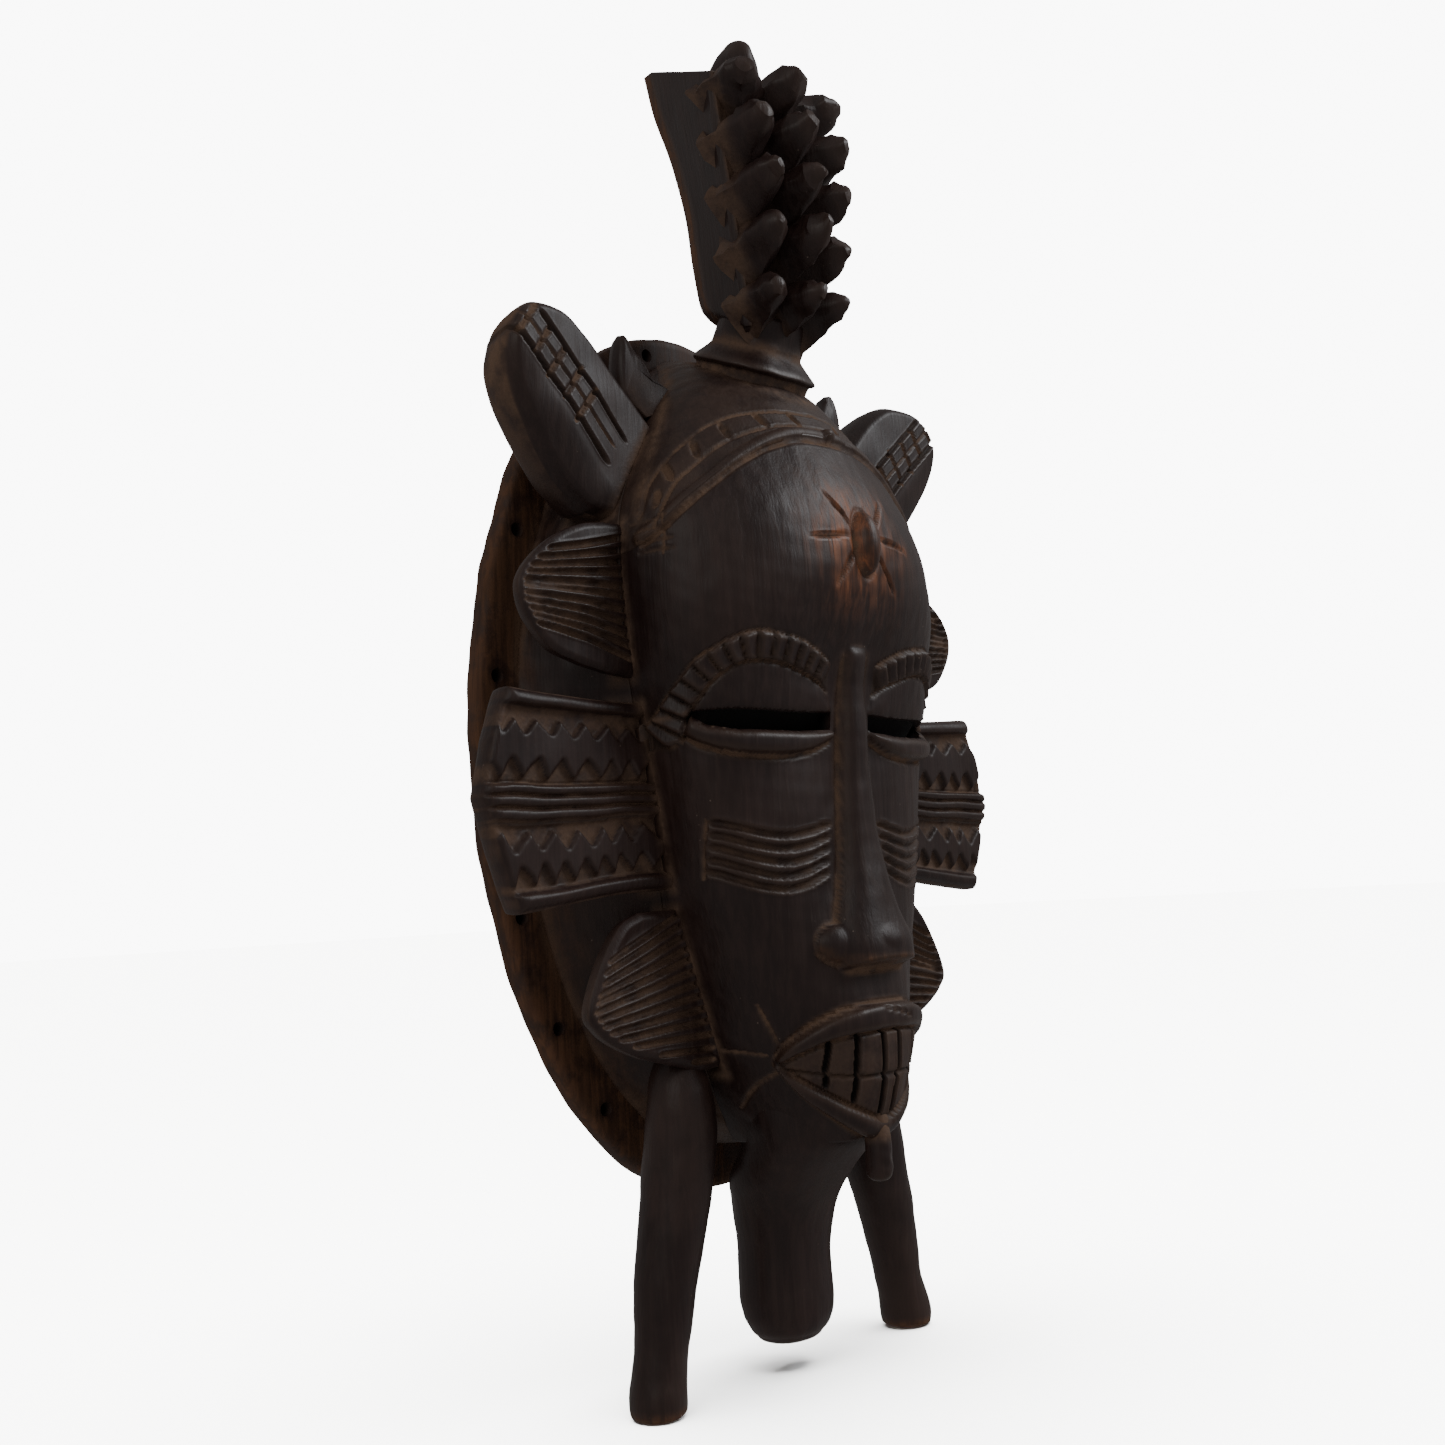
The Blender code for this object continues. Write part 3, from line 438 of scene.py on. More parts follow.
def dense(path, step=0.7):
    """The same bent line with points about a step apart."""
    p = np.asarray(path, dtype=float)
    run = run_along(p)
    at = np.linspace(0.0, run[-1], max(int(run[-1] / step), 1) + 1)
    return np.stack([np.interp(at, run, p[:, k]) for k in range(p.shape[1])], axis=1)


def rounded(path, per=6):
    """The same bent line with its corners smoothed."""
    p = np.asarray(path, dtype=float)
    k = np.arange(len(p), dtype=float)
    at = np.linspace(0.0, len(p) - 1.0, (len(p) - 1) * per + 1)
    return np.stack([curve(list(zip(k, p[:, c])), at) for c in range(p.shape[1])], axis=1)


def closed(outline):
    """The outline with its first point once more at the end."""
    return np.concatenate([outline, outline[:1]])


def through(stations, count):
    """Each column of the stations as a smooth run of this many values."""
    k = np.arange(len(stations), dtype=float)
    at = np.linspace(0.0, k[-1], count)
    return [curve(list(zip(k, column)), at) for column in zip(*stations)]


def ring_angles(count):
    return np.linspace(0.0, math.tau, count, endpoint=False)


def squared(value, power):
    """Signed power of a sine or cosine; it squares up a round ring."""
    return np.sign(value) * np.abs(value) ** power


def on_front(path, side=1):
    """Points of the head's front under an (x, z) line."""
    p = dense(path)
    limit = 0.999 * section(p[:, 1])[0]
    x = np.clip(side * p[:, 0], -limit, limit)
    return np.stack([x, front_y(x, p[:, 1]), p[:, 1]], axis=1)


def ripple(points, size, seed, waves=7):
    """Gentle unevenness in space, about -1 to 1."""
    rng = np.random.default_rng(seed)
    total = np.zeros(points.shape[:-1])
    for _ in range(waves):
        turn = rng.normal(size=3)
        turn *= rng.uniform(0.7, 1.5) / (np.linalg.norm(turn) * size)
        total += np.sin(points @ turn * math.tau + rng.uniform(0.0, math.tau))
    return total / math.sqrt(waves)


def blurred(grid, cells):
    """Box blur of a grid, done twice."""
    out = grid
    width = 2 * cells + 1
    for axis in (0, 1, 0, 1):
        pad = [(0, 0), (0, 0)]
        pad[axis] = (cells + 1, cells)
        run = np.cumsum(np.pad(out, pad, mode="edge"), axis=axis)
        low = [slice(None), slice(None)]
        high = [slice(None), slice(None)]
        low[axis] = slice(0, out.shape[axis])
        high[axis] = slice(width, width + out.shape[axis])
        out = (run[tuple(high)] - run[tuple(low)]) / width
    return out


def inside_outline(outline, x, z):
    """True where (x, z) lies inside a closed outline."""
    p = np.asarray(outline, dtype=float)
    hit = np.zeros(x.shape, dtype=bool)
    for (ax, az), (bx, bz) in zip(p, np.roll(p, -1, axis=0)):
        if az == bz:
            continue
        crosses = (az > z) != (bz > z)
        hit ^= crosses & (x < (bx - ax) * (z - az) / (bz - az) + ax)
    return hit


CAVITY_REACH = 0.9
CAVITY_DUST = 1.1


class Carving:
    """A grid of wood being carved: how far each place has moved and what shows there."""

    def __init__(self, base, seed, flat=False):
        self.base = base
        self.flat = flat
        self.height, self.dust, self.bare, self.ochre, self.soot = np.zeros((5, *base.shape[:2]))
        self.rng = np.random.default_rng(seed)

    def near(self, path, reach):
        """Places within reach of a bent line: their mask, distance, and how far along the line they are."""
        path = np.asarray(path, dtype=float)
        low, high = path.min(0) - reach, path.max(0) + reach
        mask = np.all((self.base >= low) & (self.base <= high), axis=-1)
        p = self.base[mask]
        best = np.full(len(p), reach * 2.0)
        place = np.zeros(len(p))
        run = 0.0
        for a, b in zip(path, path[1:]):
            ab = b - a
            size = float(np.linalg.norm(ab))
            if size < 1e-9:
                continue
            t = np.clip((p - a) @ ab / size**2, 0.0, 1.0)
            d = np.linalg.norm(p - a - t[:, None] * ab, axis=1)
            closer = d < best
            best = np.where(closer, d, best)
            place = np.where(closer, run + t * size, place)
            run += size
        return mask, best, place, run

    def level(self, path):
        """Points on a flat board under an (x, z) line."""
        p = np.asarray(path, dtype=float)
        return np.stack([p[:, 0], np.full(len(p), self.base[0, 0, 1]), p[:, -1]], axis=1)

    def wobble(self, path, amount):
        path = np.array(path, dtype=float)
        return path + self.rng.normal(0.0, amount, path.shape)

    def groove(self, path, width, depth, dust=0.8, taper=2.0, sharp=1.0, lip=0.10, soot=0.0):
        """A knife or gouge cut along a line, thinner at both ends; its bottom can be painted dark as painted
        shade.
        """
        mask, d, place, run = self.near(path, width)
        ends = np.clip(np.minimum(place, run - place) / max(taper, 1e-6) + 0.35, 0.0, 1.0)
        half = 0.5 * width * (0.55 + 0.45 * ends)
        cut = np.clip(1.0 - (d / half) ** 2, 0.0, None) ** sharp
        rolled = np.exp(-((d - 1.25 * half) / (0.35 * half)) ** 2)
        self.height[mask] += -depth * ends * cut + lip * depth * ends * rolled
        self.dust[mask] = np.maximum(self.dust[mask], dust * np.clip(1.35 * cut, 0.0, 1.0))
        self.soot[mask] = np.maximum(self.soot[mask], soot * np.clip(1.6 * cut - 0.2, 0.0, 1.0))

    def ridge(self, path, width, height, power=0.6):
        """A rounded ridge along a line."""
        mask, d, _, _ = self.near(path, width)
        self.height[mask] += height * np.clip(1.0 - (2.0 * d / width) ** 2, 0.0, None) ** power

    def stain(self, path, reach, amount, layer="dust"):
        """Dust, bare wood or ochre that fades out from a line."""
        mask, d, _, _ = self.near(path, reach)
        target = getattr(self, layer)
        target[mask] = np.maximum(target[mask], amount * np.clip(1.0 - d / reach, 0.0, 1.0) ** 1.4)

    def patch(self, outline, height, edge, close):
        """A raised area with a rounded edge; close is the outline in space."""
        inside = inside_outline(outline, self.base[..., 0], self.base[..., 2])
        mask, d, _, _ = self.near(close, edge)
        rise = np.where(inside, 1.0, 0.0)
        soft = np.clip(d / edge, 0.0, 1.0)
        rise[mask] *= np.sqrt(np.clip(1.0 - (1.0 - soft) ** 2, 0.0, None))
        self.height += height * rise
        return rise

    def finish(self):
        """Carved points and the five colour layers, painted shade among them, all as grids."""
        height = self.height
        du = np.gradient(self.base, axis=0)
        dv = np.gradient(self.base, axis=1)
        normal = np.cross(du, dv)
        size = np.linalg.norm(normal, axis=-1, keepdims=True)
        normal = normal / np.maximum(size, 1e-9)
        middle = normal[normal.shape[0] // 2, normal.shape[1] // 2]
        if middle[1] > 0:
            normal = -normal
        if self.flat:
            normal = np.zeros_like(normal)
            normal[..., 1] = -1.0
        points = self.base + normal * height[..., None]
        near = max(int(round(CAVITY_REACH / cell())), 1)
        hollow = blurred(height, near) - height
        proud = height - blurred(height, max(near - 1, 1))
        settled = CAVITY_DUST * np.clip(hollow - 0.14, 0.0, None)
        dust = np.clip(np.maximum(self.dust, settled), 0.0, 1.0)
        dust = dust * (1.0 - np.clip(self.soot, 0.0, 1.0))
        wear = np.clip(4.0 * np.clip(proud - 0.05, 0.0, None), 0.0, 1.0)
        return points, {"dust": dust, "wear": wear * (1.0 - dust), "bare": np.clip(self.bare, 0.0, 1.0),
                        "ochre": np.clip(self.ochre, 0.0, 1.0), "soot": np.clip(self.soot, 0.0, 1.0)}


# ---------------------------------------------------------------- making meshes

# The first layer is dust, and on the crown also painted light; the last is painted shade, near black in cuts,
# slots and holes.
LAYERS = ("dust", "wear", "bare", "ochre", "soot")
INSIDE_WOOD = {"bare": 0.75, "dust": 0.15}
REAR_WOOD = {"bare": 0.15, "dust": 0.12}


def place(points):
    """Millimetres below the flange's top edge to metres in the frame."""
    p = np.asarray(points, dtype=float).reshape(-1, 3) * MM
    p[:, 2] += RIM_TOP
    return p


def mesh_object(name, points, faces, layers=None, smooth=True):
    """Closed mesh with outward faces and the wood layers stored on its points."""
    mesh = bpy.data.meshes.new(name)
    mesh.from_pydata(place(points).tolist(), [], faces)
    bm = bmesh.new()
    bm.from_mesh(mesh)
    bmesh.ops.recalc_face_normals(bm, faces=bm.faces)
    if bm.calc_volume(signed=True) < 0.0:
        bmesh.ops.reverse_faces(bm, faces=bm.faces)
    for face in bm.faces:
        face.smooth = smooth
    bm.to_mesh(mesh)
    bm.free()
    obj = bpy.data.objects.new(name, mesh)
    bpy.context.scene.collection.objects.link(obj)
    store(obj, layers or {})
    return obj


def store(obj, layers):
    """Writes the wood layers on the points; a missing one is zero."""
    count = len(obj.data.vertices)
    for key in LAYERS:
        if key in obj.data.attributes:
            obj.data.attributes.remove(obj.data.attributes[key])
        attribute = obj.data.attributes.new(key, "FLOAT", "POINT")
        values = np.zeros(count, dtype=np.float32)
        given = layers.get(key)
        if given is not None:
            values[:] = np.broadcast_to(np.asarray(given, dtype=np.float32), (count,))
        attribute.data.foreach_set("value", values)


def coordinates(obj):
    """The object's points in millimetres below the flange's top edge."""
    flat = np.zeros(len(obj.data.vertices) * 3)
    obj.data.vertices.foreach_get("co", flat)
    p = flat.reshape(-1, 3)
    p[:, 2] -= RIM_TOP
    return p / MM


def border(rows, cols):
    """Row and column of every border place of a grid, in order."""
    loop = [(0, j) for j in range(cols)] + [(i, cols - 1) for i in range(1, rows)]
    return loop + [(rows - 1, j) for j in range(cols - 2, -1, -1)] + [(i, 0) for i in range(rows - 2, 0, -1)]


def border_values(grid):
    """What a grid holds along its border, in order."""
    return np.array([grid[i, j] for i, j in border(*grid.shape[:2])])


def grid_quads(rows, cols, start):
    index = start + np.arange(rows * cols).reshape(rows, cols)
    a, b, c, d = index[:-1, :-1], index[:-1, 1:], index[1:, 1:], index[1:, :-1]
    return np.stack([a, b, c, d], axis=-1).reshape(-1, 4).tolist()


def shell(name, outer, inner, layers, step=1, rims=(), inner_layers=None):
    """Solid between two grids; the inner one may be coarser by a whole step."""
    rows, cols = outer.shape[:2]
    points = [outer.reshape(-1, 3)]
    faces = grid_quads(rows, cols, 0)
    ring = [i * cols + j for i, j in border(rows, cols)]
    count = rows * cols
    for rim in rims:
        points.append(np.asarray(rim))
        new = list(range(count, count + len(rim)))
        for k in range(len(ring)):
            m = (k + 1) % len(ring)
            faces.append((ring[k], ring[m], new[m], new[k]))
        count += len(rim)
        ring = new
    inner_rows, inner_cols = inner.shape[:2]
    points.append(inner.reshape(-1, 3))
    faces += [tuple(reversed(q)) for q in grid_quads(inner_rows, inner_cols, count)]
    far = [count + i * inner_cols + j for i, j in border(inner_rows, inner_cols)]
    for k in range(len(far)):
        m = (k + 1) % len(far)
        near = [ring[(k * step + s) % len(ring)] for s in range(step + 1)]
        faces.append(tuple(near + [far[m], far[k]]))
    points = np.concatenate(points)
    full = {}
    for key in LAYERS:
        values = np.zeros(len(points))
        values[:rows * cols] = layers[key].reshape(-1)
        edge = border_values(layers[key])
        for r in range(len(rims)):
            at = rows * cols + r * len(edge)
            values[at:at + len(edge)] = edge
        values[count:] = (inner_layers or {}).get(key, 0.0)
        full[key] = values
    return mesh_object(name, points, faces, full)


def lofted(name, rings, smooth=True):
    """Solid through a stack of rings of equal length, closed at both ends by a fan."""
    rings = np.asarray(rings, dtype=float)
    levels, count = rings.shape[:2]
    points = np.concatenate([rings.reshape(-1, 3), rings[0].mean(0)[None], rings[-1].mean(0)[None]])
    faces = []
    for k in range(levels - 1):
        for i in range(count):
            j = (i + 1) % count
            faces.append((k * count + i, k * count + j, (k + 1) * count + j, (k + 1) * count + i))
    first, last = levels * count, levels * count + 1
    for i in range(count):
        j = (i + 1) % count
        faces.append((i, j, first))
        faces.append(((levels - 1) * count + i, (levels - 1) * count + j, last))
    return mesh_object(name, points, faces, smooth=smooth)


def shift_points(obj, offset):
    """Moves every point by an offset in millimetres."""
    co = coordinates(obj) + offset
    obj.data.vertices.foreach_set("co", place(co).reshape(-1))
    obj.data.update()


def point_normals(obj):
    flat = np.zeros(len(obj.data.vertices) * 3)
    obj.data.vertices.foreach_get("normal", flat)
    return flat.reshape(-1, 3)


def finished(obj, nodes, material):
    """Gives a piece its wood, hides the parts of the nodes it stands for and hangs it under the root body."""
    obj.data.materials.clear()
    obj.data.materials.append(material)
    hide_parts(*nodes)
    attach(obj, "root")
    return obj


def plain_mesh(obj):
    """Turns what the modifiers make into the object's own mesh and removes them."""
    bpy.context.view_layer.update()
    ready = obj.evaluated_get(bpy.context.evaluated_depsgraph_get())
    made = bpy.data.meshes.new_from_object(ready)
    obj.modifiers.clear()
    obj.data = made
    return obj


class Rule:
    """A Geometry Nodes tree under construction, with named inputs."""

    def __init__(self, name, inputs):
        self.tree = bpy.data.node_groups.new(name, "GeometryNodeTree")
        self.tree.is_modifier = True
        face = self.tree.interface
        face.new_socket("Geometry", in_out="INPUT", socket_type="NodeSocketGeometry")
        for label, kind in inputs:
            face.new_socket(label, in_out="INPUT", socket_type=kind)
        face.new_socket("Geometry", in_out="OUTPUT", socket_type="NodeSocketGeometry")
        self.source = self.tree.nodes.new("NodeGroupInput")

    def node(self, kind, settings=None, sockets=None):
        node = self.tree.nodes.new(kind)
        for key, value in (settings or {}).items():
            setattr(node, key, value)
        for key, value in (sockets or {}).items():
            if isinstance(value, bpy.types.NodeSocket):
                self.tree.links.new(value, node.inputs[key])
            else:
                node.inputs[key].default_value = value
        return node

    def close(self, geometry, material):
        """Ends the tree: real geometry, smooth, in its wood."""
        real = self.node("GeometryNodeRealizeInstances", {}, {"Geometry": geometry})
        smooth = self.node("GeometryNodeSetShadeSmooth", {}, {"Geometry": real.outputs[0]})
        wood = self.node("GeometryNodeSetMaterial", {}, {"Geometry": smooth.outputs[0], "Material": material})
        end = self.tree.nodes.new("NodeGroupOutput")
        self.tree.links.new(wood.outputs[0], end.inputs[0])

    def apply(self, obj, values):
        modifier = obj.modifiers.new(self.tree.name, "NODES")
        modifier.node_group = self.tree
        for item in self.tree.interface.items_tree:
            if item.item_type == "SOCKET" and item.in_out == "INPUT" and item.name in values:
                modifier[item.identifier] = values[item.name]
        return plain_mesh(obj)


def points_object(name, points, attributes, edges=()):
    """Loose points, or a line of them, for a tree to work on."""
    mesh = bpy.data.meshes.new(name)
    mesh.from_pydata(place(points).tolist(), list(edges), [])
    for key, (kind, values) in attributes.items():
        attribute = mesh.attributes.new(key, kind, "POINT")
        field = "vector" if kind == "FLOAT_VECTOR" else "value"
        attribute.data.foreach_set(field, np.asarray(values, dtype=np.float32).reshape(-1))
    obj = bpy.data.objects.new(name, mesh)
    bpy.context.scene.collection.objects.link(obj)
    return obj


def cell():
    return carving_settings().cell * 1.0


def fours(length, size):
    """A number of cells for this length that can be halved twice."""
    return max(4 * int(round(length / size / 4.0)), 4)


# ---------------------------------------------------------------- carving of the head

def seat_dust(carving, reach=2.4):
    """Dust in the corner where each side plate leaves the head."""
    for _, top, bottom, front, back in SEATS:
        z = np.linspace(top, bottom, 24)
        for side, _ in SIDES:
            for y in (front, back):
                carving.stain(skin_line(side, np.full_like(z, y), z), reach, 0.6)
            for end in (top, bottom):
                depth = np.linspace(front, back, 8)
                carving.stain(skin_line(side, depth, np.full_like(depth, end)), reach, 0.6)


def headband_marks(carving):
    """Rolled edge, two long lines and the slanting cuts between them."""
    for side, _ in SIDES:
        f = np.linspace(0.0, 0.985, 60)
        carving.ridge(band_line(side, f, 1.7), 3.6, 1.25)
        carving.groove(band_line(side, f, -0.5), 1.7, 0.7, 0.75, 0.1)
        for line, depth in ((BAND_TOP_LINE, 0.55), (BAND_LOW_LINE, 0.60)):
            carving.groove(on_front(rounded(line), side), 1.15, depth, 0.75, 0.1)
        for cut in BAND_CUTS:
            carving.groove(on_front(carving.wobble(cut, 0.25), side), 2.3, 1.15, 0.95, 1.5, 0.7)
        for z in (-65.4, -68.0, -70.6, -73.0):
            carving.groove(on_front(((46.2, z + 0.4), (49.6, z)), side), 0.9, 0.55, 0.4, 0.4)
        carving.groove(on_front(((46.6, -64.4), (47.6, -73.6)), side), 0.9, 0.5, 0.8, 0.4)


def forehead_marks(carving):
    """Almond boss with a star of knife cuts, rubbed with ochre."""
    x, z = carving.base[..., 0], carving.base[..., 2]
    along = np.clip(np.abs(z - BOSS_Z) / BOSS_LENGTH, 0.0, 1.0)
    half = BOSS_HALF_WIDTH * np.sqrt(1.0 - along**2) + 1e-6
    lump = np.clip(1.0 - (x / half) ** 2, 0.0, None) ** 0.55 * (1.0 - along**2) ** 0.5
    carving.height += 3.9 * lump
    ring = np.linspace(0.0, math.tau, 40)
    edge = np.stack([4.3 * np.sin(ring), BOSS_Z + 8.6 * np.cos(ring)], axis=1)
    carving.groove(on_front(edge), 1.6, 0.45, 0.35, 0.1)
    front = carving.base[..., 1] < -40.0
    reach = np.hypot(x / 1.1, z + 70.2)
    rays = 0.55 + 0.45 * np.cos(6.0 * np.arctan2(z + 70.0, x) + 0.9 * np.sin(reach))
    fade = np.exp(-((reach - 4.0) / 9.5) ** 2) * (0.38 + 0.85 * rays)
    carving.ochre += front * fade * (1.0 - 0.68 * lump) * (0.75 - 0.25 * np.tanh(x / 4.0))
    for side, _ in SIDES:
        for cut in STAR_CUTS:
            path = on_front(carving.wobble(cut, 0.25), side)
            # The star cuts are painted dark inside: painted shade.
            carving.groove(path, 1.3, 1.05, 0.25, 5.0, 0.8, soot=0.35)
            carving.stain(path, 2.6, 0.75, "ochre")


def nose_marks(carving):
    """Straight nose with rounded wings, dusty along both sides."""
    x, z = carving.base[..., 0], carving.base[..., 2]
    front = carving.base[..., 1] < -42.0
    zone = ramp(z, -172.9, -171.3) * (1.0 - ramp(z, -96.2, -94.2)) * front
    half = curve(NOSE_WIDTH, z)
    u = np.clip(np.abs(x) / half, 0.0, 1.0)
    bridge = curve(NOSE_HEIGHT, z) * (1.0 - u**3.0) ** 0.75
    r = np.sqrt((x / 7.6) ** 2 + ((z - NOSE_TIP_Z) / 6.6) ** 2)
    tip = (curve(NOSE_HEIGHT, z) + 0.5) * np.clip(1.0 - r**2.6, 0.0, None) ** 0.5
    nose = np.maximum(bridge, tip)
    for side, _ in SIDES:
        r = np.sqrt(((x - side * NOSE_WINGS_X) / 7.4) ** 2 + ((z - NOSE_TIP_Z) / 5.0) ** 2)
        wing = 3.7 * np.clip(1.0 - r**2.0, 0.0, None) ** 0.6
        nose = np.where(wing > 0, np.logaddexp(2.2 * wing, 2.2 * nose) / 2.2 * (wing > 0.4)
                        + np.maximum(wing, nose) * (wing <= 0.4), nose)
    carving.height += nose * zone
    for side, _ in SIDES:
        z_side = np.linspace(-97.0, -160.0, 50)
        edge = np.stack([curve(NOSE_WIDTH, z_side) + 0.6, z_side], axis=1)
        path = on_front(edge, side)
        carving.groove(path, 1.3, 0.40, 0.50, 3.0, lip=0.0)
        carving.stain(path, 2.2, 0.30)
        under = ((17.4, -168.0), (14.0, -170.6), (8.0, -172.1), (0.0, -172.7))
        carving.groove(on_front(rounded(under), side), 1.5, 0.5, 0.35, 0.5)
        low = ((16.6, -167.2), (13.0, -169.6), (7.4, -170.8), (0.0, -171.4))
        carving.stain(on_front(low, side), 1.6, 0.6, "bare")


def eye_marks(carving):
    """Notched brows, smooth upper lids and thick lower lids round each slit."""
    steps = carving_settings().brow_steps
    for side, _ in SIDES:
        flip = np.array([side, 1.0])
        socket = np.concatenate([rounded(BROW_INNER), np.array(SLIT[3::-1])]) * flip
        close = np.concatenate([on_front(socket), on_front(socket[:1])])
        carving.patch(socket, 0.9, 5.0, close)
        brow = np.concatenate([rounded(BROW_OUTER), rounded(BROW_INNER)[::-1]]) * flip
        rise = carving.patch(brow, 1.45, 0.9, on_front(closed(brow)))
        line = on_front(rounded(BROW_LINE), side)
        mask, _, at, run = carving.near(line, 6.0)
        beat = run / steps
        phase = at / beat % 1.0
        to_notch = np.minimum(phase, 1.0 - phase)
        tooth = (phase - 0.5) * 1.15 - 0.9 * np.exp(-(to_notch / 0.10) ** 2)
        late = 1.0 + 0.5 * ramp(at, 0.72 * run, 0.85 * run)
        carving.height[mask] += rise[mask] * tooth * late
        # The notches are dusty and also painted dark: painted shade in them.
        slot = np.exp(-(to_notch / 0.12) ** 2) * rise[mask]
        carving.dust[mask] = np.maximum(carving.dust[mask], 0.35 * slot)
        carving.soot[mask] = np.maximum(carving.soot[mask], 0.45 * slot)
        carving.groove(on_front(rounded(BROW_INNER), side), 1.1, 0.7, 0.35, 0.6)
        carving.groove(on_front(rounded(BROW_OUTER), side), 0.9, 0.7, 0.45, 0.6)
        lid = np.concatenate([np.array(SLIT[4:]), rounded(LID_LOW)[::-1]]) * flip
        carving.patch(lid, 2.7, 2.1, on_front(closed(lid)))
        low = rounded(LID_LOW) + np.array([0.0, -0.5])
        carving.groove(on_front(low, side), 1.3, 0.6, 0.40, 0.6)
        carving.stain(on_front(low, side), 1.8, 0.12)
        carving.stain(on_front(((43.2, -111.4), (46.0, -112.2)), side), 1.5, 0.6)


def cheek_marks(carving):
    """Sagging grooves across each cheek, framed by an upright line."""
    count = carving_settings().cheek_lines
    for side, _ in SIDES:
        for k in range(count):
            sag = 3.3 + 0.30 * k
            inner = 9.2 + 0.45 * k
            u = np.linspace(0.0, 1.0, 24)
            x = inner + (38.8 - 0.18 * k - inner) * u
            z = CHEEK_TOP_Z - 2.85 * k + 1.4 * u - sag * np.sin(math.pi * u)
            z += 0.12 * carving.rng.normal(size=24)
            z = blurred(np.stack([z, z]), 1)[0]
            # The last argument paints each cheek groove dark inside: painted shade.
            carving.groove(on_front(np.stack([x, z], axis=1), side), 1.95, 1.15, 0.42, 2.0, 1.05, 0.22, 0.20)
        carving.groove(on_front(((39.2, -135.9), (38.9, -142.5), (38.0, -149.6)), side), 1.1, 0.7, 0.6, 0.8)


def mouth_marks(carving):
    """Open lips over two rows of slotted teeth, with scars beside the corners."""
    top, low, top_in, low_in = (rounded(line) for line in (LIP_TOP, LIP_LOW, LIP_TOP_IN, LIP_LOW_IN))

    def both(path):
        return np.concatenate([path * np.array([-1.0, 1.0]), path[::-1][1:]])

    def z_on(line, x):
        back = np.asarray(line)[::-1]
        return np.interp(x, back[:, 0], back[:, 1])
    upper = np.concatenate([both(top), both(top_in)[::-1]])
    lower = np.concatenate([both(low), both(low_in)[::-1]])
    whole = np.concatenate([both(top), both(low)[::-1]])
    teeth = np.concatenate([both(top_in), both(low_in)[::-1]])
    carving.patch(whole, 1.2, 1.6, on_front(closed(whole)))
    for lip in (upper, lower):
        carving.patch(lip, 2.3, 2.3, on_front(closed(lip)))
    rise = carving.patch(teeth, 0.6, 1.0, on_front(closed(teeth)))
    carving.dust += 0.22 * np.clip(rise, 0.0, 1.0)
    for path in (both(top_in), both(low_in)):
        carving.groove(on_front(path), 1.2, 1.1, 0.45, 0.6)
    for path in (both(top), both(low)):
        carving.groove(on_front(path), 1.3, 0.6, 0.25, 0.6)
        carving.stain(on_front(path), 1.6, 0.12)
    # The line between the rows of teeth is painted dark inside: painted shade.
    carving.groove(on_front(both(rounded(TEETH_LINE))), 1.0, 1.1, 0.6, 0.6, soot=0.3)
    for side, _ in SIDES:
        for x in TOOTH_SLOTS:
            upper_z, line_z, lower_z = (z_on(line, x) for line in (top_in, TEETH_LINE, low_in))
            lean = 0.5 * carving.rng.normal()
            for cut in (((x, upper_z - 0.2), (x + 0.3 * lean, line_z + 0.4)),
                        ((x - 0.5, line_z - 0.6), (x - 0.9, lower_z + 0.4))):
                # The tooth slots are painted nearly black: painted shade.
                carving.groove(on_front(cut, side), 1.6, 1.9, 0.2, 0.8, 0.7, soot=0.9)
        carving.groove(on_front(((26.9, -179.3), (22.2, -189.6)), side), 1.2, 0.7, 0.7, 3.0)
        scar = ((20.9, -194.6), (22.1, -197.4), (22.0, -200.4), (21.0, -204.0))
        carving.groove(on_front(rounded(scar), side), 1.2, 0.6, 0.8, 3.0)
        carving.groove(on_front(((27.0, -189.9), (23.2, -191.2)), side), 1.0, 0.4, 0.7, 2.0)
    carving.groove(on_front(((-2.4, -182.0), (1.6, -182.9), (6.8, -184.4))), 0.7, 0.9, 0.2, 1.0)


def knife_facets(carving, seed, amount=0.16):
    """Slight flats and waves left by the adze and the knife."""
    carving.height += amount * ripple(carving.base, 17.0, seed)
    carving.height += 0.35 * amount * ripple(carving.base, 6.0, seed + 1)


def eye_cutter(side):
    """A bar through the face in the shape of one eye slit, cut slanting downwards from the front."""
    outline = dense(SLIT + SLIT[:1], 1.2)[:-1]
    rings = []
    for depth, drop in ((-9.0, 0.0), (2.6, 0.0), (13.0, 13.0)):
        rings.append([(side * x, float(front_y(x, z)) + depth, z - drop) for x, z in outline])
    cutter = lofted("eye_cutter", rings, smooth=False)
    cutter.hide_render = True
    return cutter


def cut_out(obj, cutters):
    for cutter in cutters:
        cut = obj.modifiers.new("cut", "BOOLEAN")
        cut.operation = "DIFFERENCE"
        cut.solver = "EXACT"
        cut.object = cutter
    plain_mesh(obj)
    for cutter in cutters:
        bpy.data.objects.remove(cutter, do_unlink=True)
    return obj


def head_grid(fractions, tops, bottoms, spots, inside=False):
    """Points on the head between two edges; spots are the fractions of the way down."""
    z = tops[None, :] + (bottoms - tops)[None, :] * spots[:, None]
    x = fractions[None, :] * section(z, inside)[0]
    return np.stack([x, front_y(x, z, inside), z], axis=-1)


def gouged(grid, seed, amount=0.35):
    """Rough gouge marks on a hidden inside surface."""
    out = grid.copy()
    out[..., 1] += amount * ripple(grid, 9.0, seed)
    return out


